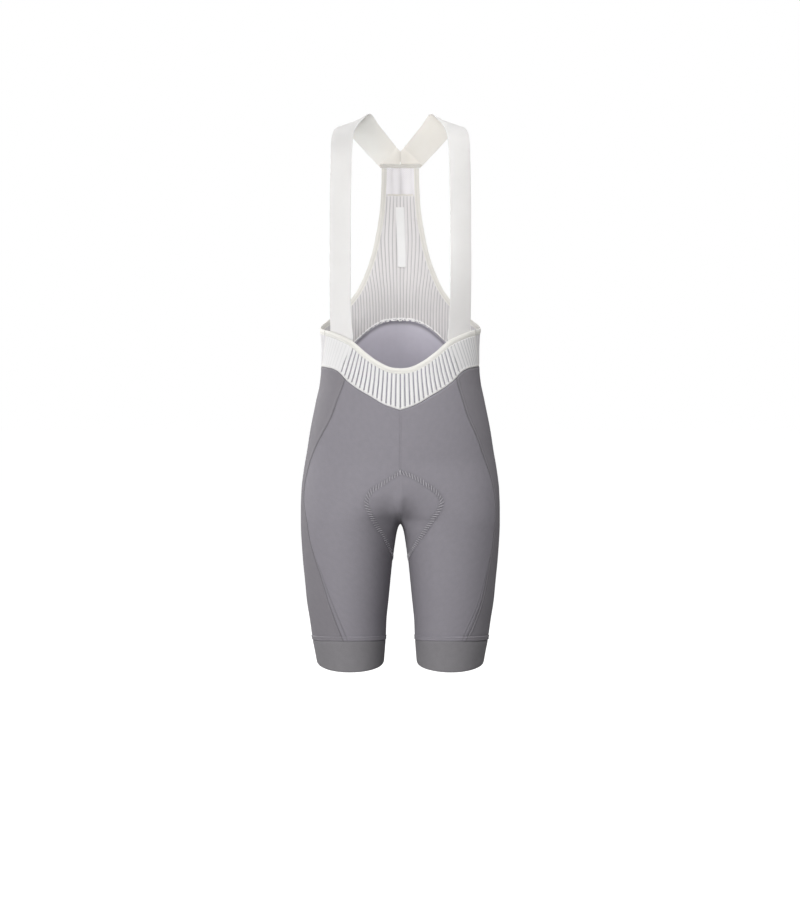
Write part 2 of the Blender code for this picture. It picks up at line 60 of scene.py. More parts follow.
# Seams and edges; a turn is in degrees round the body or leg, from centre front to centre back
boundEdge = (
    # turn, height
    (0, -400), (7, -398), (16, -389), (26, -374.5), (36, -358.5), (47, -349), (60, -342.5),
    (76, -338.5), (90, -335.5), (103, -330), (117, -321), (130, -307), (141, -289), (148, -271),
    (155.4, -240), (160.6, -208), (164, -175), (166.3, -143), (167.2, -112), (167.5, -78.8),
)
bibHem = (
    # turn, height
    (0, -463), (10, -455), (21, -441.5), (33, -428), (42, -416.5), (47, -408.5), (52, -403),
    (60, -399), (80, -396), (100, -391), (120, -379), (142, -359), (152, -343), (160, -331),
    (168, -323), (174, -320.5), (181, -320),
)
frontSeam = (
    # height, turn on the left and on the right leg
    (-416, 43.5, 42.5), (-445, 46.3, 46.8), (-477, 49.8, 51.3), (-504, 55.5, 59), (-531, 60, 67),
    (-553, 63, 70.6), (-577, 65, 71.8), (-604, 65.3, 69.3), (-630, 61.5, 59.5), (-677, 55, 48),
    (-706, 50.2, 38.8), (-734, 45.8, 31.3), (-763, 40, 23.8), (-804, 26, 11.5), (-822, 19.5, 6.5),
)
secondRow = (
    # height, degrees that the second stitch row of the front seam lies inside the first
    (-690, 1.2), (-706, 2.2), (-734, 3.6), (-763, 5.2), (-804, 7.0), (-815, 7.4),
)
legEnd = {"deep": 7.0, "rise": 1.0}
pathStep = 0.8
cuffSeam = {"front": -817.0, "side": -821.5, "back": -820.0}
cuffHem = {"front": -866.0, "side": -857.0, "back": -862.0}
neckSeam, neckTop = -120.5, -78.5
sideSeam = {"top": 67.0, "bottom": 80.0}
seamLap, underLap, tapeGap, middleLap = 0.16, 1.6, 0.3, 0.02
sides = (("left", 1), ("right", -1))


def through(rows, at, limited=True):
    # a smooth curve through a table's rows, whose first column is where each row stands
    table = np.array(rows, dtype=float)
    table = table[np.argsort(table[:, 0])]
    knots, values = table[:, 0], table[:, 1:]
    at = np.clip(np.asarray(at, dtype=float), knots[0], knots[-1])
    step = np.diff(knots)[:, None]
    rise = np.diff(values, axis=0) / step
    slope = np.vstack([rise[:1], (rise[:-1] + rise[1:]) / 2, rise[-1:]])
    if limited:
        same = rise[:-1] * rise[1:] > 0
        total = np.where(same, rise[:-1] + rise[1:], 1.0)
        slope[1:-1] = np.where(same, 2 * rise[:-1] * rise[1:] / total, 0.0)
    i = np.clip(np.searchsorted(knots, at, side="right") - 1, 0, len(knots) - 2)
    wide = step[i]
    t = ((at - knots[i]) / wide[..., 0])[..., None]
    return (
        (1 + 2 * t) * (1 - t) ** 2 * values[i]
        + t * (1 - t) ** 2 * wide * slope[i]
        + t**2 * (3 - 2 * t) * values[i + 1]
        + t**2 * (t - 1) * wide * slope[i + 1]
    )


def lobes(height):
    # centre, half width, front and back depth of one side's section
    reach, gap, front, back = np.moveaxis(through(figure["sections"], height), -1, 0)
    share = np.clip((height - figure["crotch"]) / figure["splitRise"], 0, 1)
    ratio = (1 - share) ** figure["splitPower"]
    above = height > figure["crotch"]
    half = np.where(above, reach / (1 + ratio), (reach - gap) / 2)
    centre = np.where(above, ratio * half, (reach + gap) / 2)
    return centre, half, front, back


def distance(points):
    # how far points lie outside the figure, near its skin
    x, y, z = np.moveaxis(points, -1, 0)
    centre, half, front, back = lobes(z)
    depth = np.where(y < 0, front, back)

    def oneSide(across):
        away = np.hypot(across / half, y / depth)
        steep = np.hypot(across / half**2, y / depth**2)
        return away * (away - 1) / np.maximum(steep, 1e-9)

    left, right = oneSide(x - centre), oneSide(x + centre)
    # the two legs' sections run into each other softly at the crotch
    soft = figure["crotchRound"] * np.clip(2 * centre / half, 0, 1) + 1e-6
    near = np.clip(soft - np.abs(left - right), 0, None) / soft
    return np.minimum(left, right) - near**2 * soft / 4


def outward(points):
    # the way out of the figure at points near its skin
    small = 0.02
    slope = [
        distance(points + small * axis) - distance(points - small * axis) for axis in np.eye(3)
    ]
    slope = np.stack(slope, axis=-1)
    return slope / np.linalg.norm(slope, axis=-1, keepdims=True)


def settled(points, rounds=8):
    # points drawn onto the figure's skin
    points = np.array(points, dtype=float)
    for _ in range(rounds):
        points = points - np.clip(distance(points), -3, 3)[..., None] * outward(points)
    return points


def onFigure(turn, height):
    # points on the skin at the given turns and heights
    turn, height = np.broadcast_arrays(np.asarray(turn, float), np.asarray(height, float))
    centre, half, front, back = lobes(height)
    angle = np.radians(turn)
    depth = np.where(np.cos(angle) > 0, front, back)
    across = centre + half * np.sin(angle)
    return settled(np.stack([across, -depth * np.cos(angle), height], axis=-1))


def innerTurn(height):
    # where one side's section meets the middle: 0 on the body, -90 down the inseam
    centre, half, _, _ = lobes(height)
    return -np.degrees(np.arcsin(np.clip(centre / half, 0, 1)))


def turnOf(points):
    # the turn of each point, from -90 round to 270 degrees
    x, y, z = np.moveaxis(points, -1, 0)
    centre, half, front, back = lobes(z)
    depth = np.where(y < 0, front, back)
    turn = np.degrees(np.arctan2((np.abs(x) - centre) / half, -y / depth))
    return np.where(turn < -91, turn + 360, turn)


def finer(grid, downAt, acrossAt):
    # points between a grid's own, on smooth curves through them, at the given rows and columns
    for at in (downAt, acrossAt):
        ends = np.concatenate([[2 * grid[0] - grid[1]], grid, [2 * grid[-1] - grid[-2]]])
        i = np.clip(at.astype(int), 0, len(grid) - 2)
        t = (at - i)[:, None, None]
        a, b, c, d = (ends[i + k] for k in range(4))
        grid = b + t / 2 * (c - a + t * (2 * a - 5 * b + 4 * c - d + t * (3 * (b - c) + d - a)))
        grid = np.swapaxes(grid, 0, 1)
    return grid


def closerAtEnds(cells, count, pull):
    # count places along a number of cells, drawn towards both ends
    t = np.linspace(0, 1, count)
    return cells * (t - pull * np.sin(2 * math.pi * t) / (2 * math.pi))


def patch(top, bottom, start, end):
    # turns and heights between four seams that share their corners
    u = np.linspace(0, 1, len(top))[None, :, None]
    v = np.linspace(0, 1, len(start))[:, None, None]
    across = (1 - u) * start[:, None] + u * end[:, None]
    down = (1 - v) * top[None] + v * bottom[None]
    corners = (1 - v) * ((1 - u) * top[0] + u * top[-1])
    corners = corners + v * ((1 - u) * bottom[0] + u * bottom[-1])
    return across + down - corners


def relaxed(grid, rounds=5):
    # a grid whose cells are evened out on the skin
    for _ in range(rounds):
        around = grid[:-2, 1:-1] + grid[2:, 1:-1] + grid[1:-1, :-2] + grid[1:-1, 2:]
        grid[1:-1, 1:-1] = settled(around / 4)
    return grid


def inset(grid, gap, edges="tblr"):
    # draws a grid's top, bottom, left or right edges in from its seams by half the gap
    moved = grid.copy()
    rims = {
        "t": (np.s_[0], np.s_[1]), "b": (np.s_[-1], np.s_[-2]), "l": (np.s_[:, 0], np.s_[:, 1]),
        "r": (np.s_[:, -1], np.s_[:, -2]),
    }
    for edge in edges:
        line, inside = (grid[part] for part in rims[edge])
        along = np.gradient(line, axis=0)
        along /= np.linalg.norm(along, axis=1, keepdims=True) + 1e-9
        step = inside - line
        step -= (step * along).sum(1, keepdims=True) * along
        step /= np.linalg.norm(step, axis=1, keepdims=True) + 1e-9
        moved[rims[edge][0]] += step * gap / 2
    return moved


def mirrored(points, side):
    return points * np.array([side, 1, 1])


def lengthAlong(path):
    return np.concatenate([[0], np.cumsum(np.linalg.norm(np.diff(path, axis=0), axis=1))])


def evenly(path, step):
    # the same path with points an even step apart
    length = lengthAlong(path)
    at = np.linspace(0, length[-1], max(2, int(length[-1] / step) + 1))
    return np.stack([np.interp(at, length, path[:, k]) for k in range(3)], axis=-1)


def nearTo(points, path):
    # how far each point is from a path, and how far along the path its nearest place lies
    flat = points.reshape(-1, 3)
    gap = (flat**2).sum(1)[:, None] + (path**2).sum(1) - 2 * flat @ path.T
    nearest = gap.argmin(1)
    away = np.sqrt(np.maximum(gap[np.arange(len(flat)), nearest], 0))
    return away.reshape(points.shape[:-1]), lengthAlong(path)[nearest].reshape(points.shape[:-1])


def bell(away, width):
    return np.exp(-((away / width) ** 2))


def ease(value):
    value = np.clip(value, 0, 1)
    return value * value * (3 - 2 * value)


def clothPlace(grid):
    # each point's place on the flat cloth: across from the middle column, and down
    across = np.linalg.norm(np.diff(grid, axis=1), axis=2)
    across = np.concatenate([np.zeros((len(grid), 1)), np.cumsum(across, axis=1)], axis=1)
    across -= across[:, [grid.shape[1] // 2]]
    down = np.linalg.norm(np.diff(grid, axis=0), axis=2)
    down = np.concatenate([np.zeros((1, grid.shape[1])), np.cumsum(down, axis=0)])
    return np.stack([across, down, 0 * down], axis=-1)


def meshPiece(name, points, faces, finishes, attributes=None, edges=()):
    mesh = bpy.data.meshes.new(name)
    mesh.from_pydata((points.reshape(-1, 3) * mm).tolist(), edges, faces)
    for finish in finishes:
        mesh.materials.append(finish)
    for key, values in (attributes or {}).items():
        vector = values.ndim == points.ndim
        layer = mesh.attributes.new(key, "FLOAT_VECTOR" if vector else "FLOAT", "POINT")
        layer.data.foreach_set("vector" if vector else "value", values.astype(np.float32).ravel())
    mesh.shade_smooth()
    piece = bpy.data.objects.new(name, mesh)
    bpy.context.scene.collection.objects.link(piece)
    return piece


def sheetPiece(name, grid, finishes, facing, attributes=None, ring=False):
    # an open sheet of cloth through a grid of points
    rows, columns = grid.shape[:2]
    c = np.arange(columns if ring else columns - 1)[None]
    first = np.arange(rows - 1)[:, None] * columns
    after = (c + 1) % columns
    faces = np.stack([first + c, first + after, first + columns + after, first + columns + c])
    faces = faces.reshape(4, -1).T
    i, j = (rows - 1) // 2, (columns - 1) // 2
    normal = np.cross(grid[i, j + 1] - grid[i, j], grid[i + 1, j] - grid[i, j])
    if normal @ facing[i, j] < 0:
        faces = faces[:, ::-1]
    place = {"cloth": clothPlace(grid), "facing": facing}
    place.update(attributes or {})
    return meshPiece(name, grid, faces.tolist(), finishes, place)


def closedHalf(piece, grid, side):
    # both faces of the wall end on the middle line, where the other half begins
    count = grid[..., 0].size
    for i in np.flatnonzero(grid[..., 0].ravel() <= 0.0):
        for vertex in (piece.data.vertices[i], piece.data.vertices[i + count]):
            vertex.co.x = -middleLap * mm * side
    # the narrow faces round the wall keep their own shading, so no dark line runs beside a seam
    piece.data.set_sharp_from_angle(angle=math.radians(55))
    return piece


def addWall(piece, thickness, offset=-1):
    wall = piece.modifiers.new("wall", "SOLIDIFY")
    wall.thickness = thickness * mm
    wall.offset = offset
    wall.material_offset = len(piece.data.materials) - 1


def addTree(piece, tree, values):
    # a geometry node tree on a piece, its inputs set by their socket's identifier
    modifier = piece.modifiers.new(tree.name, "NODES")
    modifier.node_group = tree
    for item in tree.interface.items_tree:
        if item.item_type == "SOCKET" and item.in_out == "INPUT" and item.name in values:
            modifier[item.identifier] = values[item.name]


def made(piece):
    # turns what the modifiers give into the piece's own mesh
    graph = bpy.context.evaluated_depsgraph_get()
    mesh = bpy.data.meshes.new_from_object(piece.evaluated_get(graph), depsgraph=graph)
    piece.modifiers.clear()
    piece.data = mesh
    return piece


def worn(piece, slot, *nodes):
    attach(piece, "root")
    if nodes:
        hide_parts(*nodes)
    return piece


def sewnSheet(name, grid, finishes, facing, wall, slot, nodes, attributes=None, ring=False):
    piece = sheetPiece(name, grid, finishes, facing, attributes, ring)
    addWall(piece, wall)
    worn(made(piece), slot, *nodes)


def linear(code):
    parts = [int(code[i : i + 2], 16) / 255 for i in (1, 3, 5)]
    return tuple(p / 12.92 if p <= 0.04045 else ((p + 0.055) / 1.055) ** 2.4 for p in parts) + (
        1.0,
    )


def addNode(tree, kind, values=None, **settings):
    # a value is a number, a colour, another node's socket, or a node that gives its first socket
    node = tree.nodes.new(kind)
    for key, value in settings.items():
        setattr(node, key, value)
    for key, value in (values or {}).items():
        if isinstance(value, bpy.types.Node):
            value = value.outputs[0]
        if isinstance(value, bpy.types.NodeSocket):
            tree.links.new(value, node.inputs[key])
        else:
            node.inputs[key].default_value = value
    return node


def newFinish(name):
    finish = bpy.data.materials.new(name)
    finish.use_nodes = True
    return finish, finish.node_tree


def clothAt(tree):
    # a point's place on the flat cloth, then how far across and how far down that is
    cloth = addNode(tree, "ShaderNodeAttribute", attribute_name="cloth").outputs["Vector"]
    place = addNode(tree, "ShaderNodeSeparateXYZ", {0: cloth}).outputs
    return cloth, place[0], place[1]


def wave(tree, place, period):
    turns = addNode(
        tree, "ShaderNodeMath", {0: place, 1: 2 * math.pi / period}, operation="MULTIPLY"
    )
    return addNode(tree, "ShaderNodeMath", {0: turns}, operation="SINE")


def fromCrest(tree, rib):
    # how far from its rib's crest a point lies, in shares of the distance between ribs
    part = addNode(tree, "ShaderNodeMath", {0: rib}, operation="FRACT")
    aside = addNode(tree, "ShaderNodeMath", {0: part, 1: 0.5}, operation="SUBTRACT")
    return addNode(tree, "ShaderNodeMath", {0: aside}, operation="ABSOLUTE")


def surfaced(tree, look, colour, height, constants, strength=0.5, invert=False):
    # the colour, darkened by the painted shade that a piece's shade attribute carries along seams,
    # folds, stitch rows and under edges, and the weave's relief
    shader = tree.nodes["Principled BSDF"]
    shade = addNode(tree, "ShaderNodeAttribute", attribute_name=look.get("shade", "shade"))
    deepest = (0.0, 0.0, 0.0, 1.0)
    tone = addNode(tree, "ShaderNodeMixRGB", {0: shade.outputs["Fac"], 1: colour, 2: deepest})
    weave = {"Strength": strength, "Distance": look["bump"] * mm, "Height": height}
    bump = addNode(tree, "ShaderNodeBump", weave, invert=invert)
    tree.links.new(tone.outputs[0], shader.inputs["Base Color"])
    tree.links.new(bump.outputs[0], shader.inputs["Normal"])
    for key, value in {"Roughness": look["roughness"], **constants}.items():
        shader.inputs[key].default_value = value


def knitFinish(name, look):
    # warp-knit polyamide and elastane: fine upright wales on a matt, slightly mottled dye
    finish, tree = newFinish(name)
    cloth, across, down = clothAt(tree)
    dye = addNode(
        tree, "ShaderNodeTexNoise", {"Vector": cloth, "Scale": 1 / look["mottle"], "Detail": 4.0}
    )
    yarn = addNode(
        tree, "ShaderNodeTexNoise", {"Vector": cloth, "Scale": 1 / look["wale"], "Detail": 2.0}
    )
    tone = addNode(tree, "ShaderNodeMath", {0: dye, 1: 0.6, 2: yarn}, operation="MULTIPLY_ADD")
    share = addNode(tree, "ShaderNodeMapRange", {"Value": tone, "From Min": 0.45, "From Max": 1.15})
    colour = addNode(
        tree, "ShaderNodeMixRGB", {0: share, 1: linear(look["deep"]), 2: linear(look["pale"])}
    )
    wales, courses = wave(tree, across, look["wale"]), wave(tree, down, look["course"])
    loops = addNode(tree, "ShaderNodeMath", {0: wales, 1: courses}, operation="MULTIPLY")
    relief = addNode(tree, "ShaderNodeMath", {0: yarn, 1: 1.2, 2: loops}, operation="MULTIPLY_ADD")
    surfaced(tree, look, colour, relief, {"Specular IOR Level": 0.12})
    return finish


def ribFinish(name, look):
    # ribbed polyester mesh: raised white ribs with see-through lines of open net between them
    finish, tree = newFinish(name)
    cloth, _, down = clothAt(tree)
    rib = addNode(tree, "ShaderNodeAttribute", attribute_name="ribs")
    held = addNode(tree, "ShaderNodeAttribute", attribute_name="held")
    rim, soft = 0.5 - look["line"] / 2, 0.05
    edges = {
        "Value": fromCrest(tree, rib.outputs["Fac"]), "From Min": rim - soft, "From Max": rim + soft
    }
    line = addNode(tree, "ShaderNodeMapRange", edges, interpolation_type="SMOOTHSTEP")
    gap = addNode(tree, "ShaderNodeMath", {0: line, 1: held.outputs["Fac"]}, operation="MULTIPLY")
    alpha = addNode(
        tree, "ShaderNodeMath", {0: gap, 1: -look["seeThrough"], 2: 1.0}, operation="MULTIPLY_ADD"
    )
    tree.links.new(alpha.outputs[0], tree.nodes["Principled BSDF"].inputs["Alpha"])
    colour = addNode(
        tree, "ShaderNodeMixRGB", {0: gap, 1: linear(look["rib"]), 2: linear(look["lineColour"])}
    )
    yarn = addNode(
        tree, "ShaderNodeTexNoise", {"Vector": cloth, "Scale": 1 / look["net"], "Detail": 2.0}
    )
    relief = addNode(
        tree, "ShaderNodeMath", {0: yarn, 1: wave(tree, down, look["net"])}, operation="ADD"
    )
    surfaced(tree, look, colour, relief, {"Sheen Weight": 0.1, "Specular IOR Level": 0.2}, 0.4)
    return finish


def netFinish(name, look):
    # plain fine net: small round openings in offset rows, drawn larger than real so that they show
    finish, tree = newFinish(name)
    _, across, down = clothAt(tree)
    rows, columns = wave(tree, across, look["net"]), wave(tree, down, look["net"])
    holes = addNode(tree, "ShaderNodeMath", {0: rows, 1: columns}, operation="MULTIPLY")
    edges = {"Value": holes, "From Min": 0.3, "From Max": 0.8}
    hole = addNode(tree, "ShaderNodeMapRange", edges, interpolation_type="SMOOTHSTEP")
    colour = addNode(
        tree, "ShaderNodeMixRGB", {0: hole, 1: linear(look["yarn"]), 2: linear(look["hole"])}
    )
    surfaced(tree, look, colour, holes, {"Specular IOR Level": 0.2}, 0.4, invert=True)
    return finish


def elasticFinish(name, look):
    # woven elastic: close crosswise ribs over rubber cores, matt, with light scattered in its pile
    finish, tree = newFinish(name)
    cloth, across, down = clothAt(tree)
    tone = addNode(
        tree, "ShaderNodeTexNoise", {"Vector": cloth, "Scale": 1 / look["mottle"], "Detail": 3.0}
    )
    colour = addNode(
        tree, "ShaderNodeMixRGB", {0: tone, 1: linear(look["deep"]), 2: linear(look["pale"])}
    )
    picks, ends = wave(tree, down, look["pick"]), wave(tree, across, look["end"])
    weave = addNode(tree, "ShaderNodeMath", {0: ends, 1: 0.4, 2: picks}, operation="MULTIPLY_ADD")
    constants = {
        "Subsurface Weight": look["glow"], "Subsurface Radius": (0.006, 0.006, 0.006),
        "Subsurface Scale": 1.0, "Specular IOR Level": 0.25,
    }
    surfaced(tree, look, colour, weave, constants)
    return finish


def threadFinish(name, code, roughness=0.5):
    # spun polyester thread: two plies twisted, seen as light and dark along each stitch
    finish, tree = newFinish(name)
    shader = tree.nodes["Principled BSDF"]
    place = addNode(tree, "ShaderNodeTexCoord").outputs["Object"]
    plies = addNode(
        tree, "ShaderNodeTexNoise", {"Vector": place, "Scale": 1 / (0.5 * mm), "Detail": 1.0}
    )
    bright = addNode(tree, "ShaderNodeMapRange", {"Value": plies, "To Min": 0.85, "To Max": 1.15})
    tone = addNode(tree, "ShaderNodeHueSaturation", {"Color": linear(code), "Value": bright})
    tree.links.new(tone.outputs[0], shader.inputs["Base Color"])
    shader.inputs["Roughness"].default_value = roughness
    shader.inputs["Sheen Weight"].default_value = 0.2
    return finish


lycra = {
    # real wales are 0.5 mm apart, drawn at twice that so that they show
    "wale": 1.1, "course": 1.6, "mottle": 9.0, "bump": 0.05, "roughness": 0.7,
    "deep": "#858288", "pale": "#8F8C93",
}
# painted shade: the side and back panels are a darker copy of the same knit, standing for the
# duller sheen of the knit cut the other way
cutAcrossShaded = {**lycra, "deep": "#7D7A80", "pale": "#868387"}
wrongSide = {**lycra, "deep": "#C2BFCB", "pale": "#CBC8D4", "shade": "shadeInside"}
gripper = {**lycra, "deep": "#7C7A7D", "pale": "#868487", "wale": 1.4, "course": 1.4}
greyKnit = knitFinish("grey_warp_knit_lycra", lycra)
sideKnit = knitFinish("grey_warp_knit_lycra_cut_across_painted_darker", cutAcrossShaded)
greyInside = knitFinish("grey_lycra_wrong_side", wrongSide)
gripperKnit = knitFinish("grey_gripper_knit", gripper)

openRib = {
    "rib": "#E2E1E1", "lineColour": "#C4C4C8", "line": 0.3, "seeThrough": 0.86,
    "net": 1.5, "bump": 0.06, "roughness": 0.75,
}
# the back's lines are nearly opaque and grey: partly the net's own tone, partly painted shade
# standing for the dark seen through the open lines
shadedLineRib = {**openRib, "rib": "#EAE8E9", "lineColour": "#CDCACC", "line": 0.24, "seeThrough": 0.04}
ribMesh = ribFinish("ribbed_polyester_mesh", openRib)
shadedLineRibMesh = ribFinish("ribbed_polyester_mesh_painted_shade_in_lines", shadedLineRib)

plainNet = {"yarn": "#F9F7FA", "hole": "#EDEAF0", "net": 3.2, "bump": 0.06, "roughness": 0.7}
turnedNet = {"yarn": "#F1F0F0", "hole": "#E6E5E6", "net": 2.2, "bump": 0.05, "roughness": 0.75}
neckNet = netFinish("plain_polyester_net", plainNet)
hemMesh = netFinish("turned_mesh_hem", turnedNet)

elastic = {
    "deep": "#DEDCDA", "pale": "#E5E3E1", "pick": 1.3, "end": 2.4, "mottle": 40.0,
    "bump": 0.06, "roughness": 0.7, "glow": 0.9,
}
# painted light: a paler copy of the elastic for the straps' inner face, so that it looks as lit as
# the outer face; painted shade is laid back over it
paintedPaleInside = {
    **elastic, "deep": "#FDF4E8", "pale": "#FFF9EF", "bump": 0.03, "roughness": 0.8,
    "shade": "shadeInside",
}
tape = {
    "deep": "#E8E6E0", "pale": "#EEECE7", "pick": 1.2, "end": 0.9, "mottle": 12.0,
    "bump": 0.08, "roughness": 0.65, "glow": 0.3,
}
satin = {
    "deep": "#F1F1F2", "pale": "#F8F8F8", "pick": 0.8, "end": 0.8, "mottle": 20.0,
    "bump": 0.02, "roughness": 0.4, "glow": 0.0,
}
strapElastic = elasticFinish("woven_strap_elastic", elastic)
strapInside = elasticFinish("inner_face_of_strap_elastic_painted_paler", paintedPaleInside)
bindingTape = elasticFinish("folded_binding_tape", tape)
labelSatin = elasticFinish("woven_label_satin", satin)
greyThread = threadFinish("grey_polyester_thread", "#7E7B81")
padThread = threadFinish("pale_grey_polyester_thread", "#A6A3A9")
creamThread = threadFinish("cream_polyester_thread", "#EAE7DA")
roseThread = threadFinish("rose_grey_polyester_thread", "#D3C7C3", 0.55)
print("finishes made")


def newTree(name, inputs):
    tree = bpy.data.node_groups.new(name, "GeometryNodeTree")
    tree.interface.new_socket("Geometry", in_out="INPUT", socket_type="NodeSocketGeometry")
    for label, kind, value in inputs:
        socket = tree.interface.new_socket(label, in_out="INPUT", socket_type=kind)
        if value is not None:
            socket.default_value = value
    tree.interface.new_socket("Geometry", in_out="OUTPUT", socket_type="NodeSocketGeometry")
    return tree, addNode(tree, "NodeGroupInput").outputs


def endTree(tree, geometry, finish):
    real = addNode(tree, "GeometryNodeRealizeInstances", {0: geometry})
    smooth = addNode(tree, "GeometryNodeSetShadeSmooth", {0: real})
    painted = addNode(tree, "GeometryNodeSetMaterial", {0: smooth, "Material": finish})
    addNode(tree, "NodeGroupOutput", {0: painted})
    return tree


def named(tree, name, kind="FLOAT"):
    # a value that a piece's own points carry
    return addNode(tree, "GeometryNodeInputNamedAttribute", {"Name": name}, data_type=kind)


def stitchTree():
    # one short thread laid along each path, or slanting over it, at every pitch
    inputs = (
        ("Pitch", "NodeSocketFloat", 3 * mm),
        ("Stitch length", "NodeSocketFloat", 2.2 * mm),
        ("Thread radius", "NodeSocketFloat", 0.25 * mm),
        ("Slant", "NodeSocketFloat", 0.0),
        ("Unevenness", "NodeSocketFloat", 0.12),
        ("Seed", "NodeSocketInt", 4),
        ("Thread", "NodeSocketMaterial", None),
    )
    tree, given = newTree("stitch_row", inputs)
    path = addNode(tree, "GeometryNodeMeshToCurve", {0: given["Geometry"]})
    spaced = addNode(
        tree, "GeometryNodeResampleCurve", {0: path, "Length": given["Pitch"]}, mode="LENGTH"
    )
    facing, tangent = named(tree, "facing", "FLOAT_VECTOR"), addNode(
        tree, "GeometryNodeInputTangent"
    )
    aside = addNode(
        tree, "ShaderNodeVectorMath", {0: tangent, 1: facing}, operation="CROSS_PRODUCT"
    )
    slanted = addNode(
        tree, "ShaderNodeVectorMath", {0: aside, "Scale": given["Slant"]}, operation="SCALE"
    )
    way = addNode(tree, "ShaderNodeVectorMath", {0: tangent, 1: slanted}, operation="ADD")
    along = addNode(tree, "FunctionNodeAlignRotationToVector", {"Vector": way}, axis="X")
    turned = {"Rotation": along, "Vector": facing}
    upright = addNode(tree, "FunctionNodeAlignRotationToVector", turned, axis="Z", pivot_axis="X")
    half = addNode(
        tree, "ShaderNodeMath", {0: given["Stitch length"], 1: 0.5}, operation="MULTIPLY"
    )
    thick = given["Thread radius"]
    size = addNode(tree, "ShaderNodeCombineXYZ", {0: half, 1: thick, 2: thick})
    ball = addNode(tree, "GeometryNodeMeshUVSphere", {"Segments": 6, "Rings": 4, "Radius": 1.0})
    least = addNode(tree, "ShaderNodeMath", {0: 1.0, 1: given["Unevenness"]}, operation="SUBTRACT")
    most = addNode(tree, "ShaderNodeMath", {0: 1.0, 1: given["Unevenness"]}, operation="ADD")
    limits = {2: least, 3: most, "Seed": given["Seed"]}
    vary = addNode(tree, "FunctionNodeRandomValue", limits, data_type="FLOAT").outputs[1]
    scale = addNode(tree, "ShaderNodeVectorMath", {0: size, "Scale": vary}, operation="SCALE")
    places = {"Points": spaced, "Instance": ball, "Rotation": upright, "Scale": scale}
    laid = addNode(tree, "GeometryNodeInstanceOnPoints", places)
    return endTree(tree, laid, given["Thread"])


def ribTree():
    # lifts a sheet between its rib lines, less where the ribs are held in a seam
    inputs = (
        ("Rib rise", "NodeSocketFloat", 0.7 * mm),
        ("Line share", "NodeSocketFloat", 0.3),
        ("Mesh", "NodeSocketMaterial", None),
    )
    tree, given = newTree("rib_relief", inputs)
    away = fromCrest(tree, named(tree, "ribs"))
    foot = addNode(
        tree, "ShaderNodeMath", {0: given["Line share"], 1: -0.5, 2: 0.5}, operation="MULTIPLY_ADD"
    )
    edges = {"Value": away, "From Min": foot, "From Max": 0.12}
    crown = addNode(tree, "ShaderNodeMapRange", edges, interpolation_type="SMOOTHSTEP")
    rise = addNode(tree, "ShaderNodeMath", {0: crown, 1: named(tree, "held")}, operation="MULTIPLY")
    rise = addNode(tree, "ShaderNodeMath", {0: rise, 1: given["Rib rise"]}, operation="MULTIPLY")
    facing = named(tree, "facing", "FLOAT_VECTOR")
    step = addNode(tree, "ShaderNodeVectorMath", {0: facing, "Scale": rise}, operation="SCALE")
    moved = addNode(tree, "GeometryNodeSetPosition", {0: given["Geometry"], "Offset": step})
    return endTree(tree, moved, given["Mesh"])


stitchRow, ribRelief = stitchTree(), ribTree()


def besides(path, facing, aside, lift):
    # a row that keeps to one side of a path
    along = np.gradient(path, axis=0)
    along /= np.linalg.norm(along, axis=1, keepdims=True)
    return path + np.cross(along, facing) * aside + facing * lift


def threads(name, slot, thread, size, rows, inward=False, slant=0.0):
    # one piece from several rows, each given by a path, how far aside it runs and its lift
    points, edges, facings = [], [], []
    for path, aside, lift in rows:
        path = evenly(path, 1.5)
        facing = outward(path) * (-1 if inward else 1)
        row = besides(path, facing, aside, lift)
        first = sum(len(p) for p in points)
        edges += [(first + i, first + i + 1) for i in range(len(row) - 1)]
        points.append(row)
        facings.append(facing)
    points = np.concatenate(points)
    piece = meshPiece(name, points, [], [], {"facing": np.concatenate(facings)}, edges)
    sizes = dict(zip(("Pitch", "Stitch length", "Thread radius"), (amount * mm for amount in size)))
    addTree(piece, stitchRow, {**sizes, "Thread": thread, "Slant": slant})
    return worn(made(piece), slot)


def hemHeight(turn):
    return through(bibHem, turn)[..., 0]


def ringHeight(levels, turn, fullness=1.5):
    front = np.cos(np.radians(turn))
    ends = np.where(front > 0, levels["front"], levels["back"])
    return levels["side"] + (ends - levels["side"]) * np.abs(front) ** fullness


def panelCuts(column):
    # coarse grids of the front panel and of the side and back panel of a leg, on the +X side
    above, below, firstStep = 11, 8, 16.0
    crotch = figure["crotch"]
    seamTop, seamLow = frontSeam[0][1 + column], frontSeam[-1][0]

    def middle(top, turnAt):
        height = top + (crotch - top) * np.sin(np.linspace(0, math.pi / 2, above + 1))
        height = np.concatenate([height, np.linspace(crotch - firstStep, cuffSeam["side"], below)])
        height[0] = top
        return np.stack([turnAt(height), height], axis=-1)

    frontMiddle = middle(hemHeight(0.0), innerTurn)
    backMiddle = middle(hemHeight(180.0), lambda z: 180 - innerTurn(z))
    height = np.linspace(hemHeight(seamTop), seamLow, above + below + 1)
    slant = np.stack([through(frontSeam, height)[:, column], height], axis=-1)
    slant[-1, 1] = ringHeight(cuffSeam, slant[-1, 0])

    def edge(levels, start, end, count):
        turn = np.linspace(start, end, count)
        return np.stack([turn, levels(turn)], axis=-1)

    def cuffTop(turn):
        return ringHeight(cuffSeam, turn)

    foot = slant[-1, 0]
    front = patch(edge(hemHeight, 0, seamTop, 11), edge(cuffTop, -90, foot, 11), frontMiddle, slant)
    back = patch(edge(hemHeight, seamTop, 180, 21), edge(cuffTop, foot, 270, 21), slant, backMiddle)
    grids = []
    for cut, end in ((front, 0), (back, -1)):
        grid = onFigure(cut[..., 0], cut[..., 1])
        grid[..., 0] = np.maximum(grid[..., 0], 0)
        grid[: above + 1, end, 0] = 0
        grids.append(relaxed(grid))
    return grids


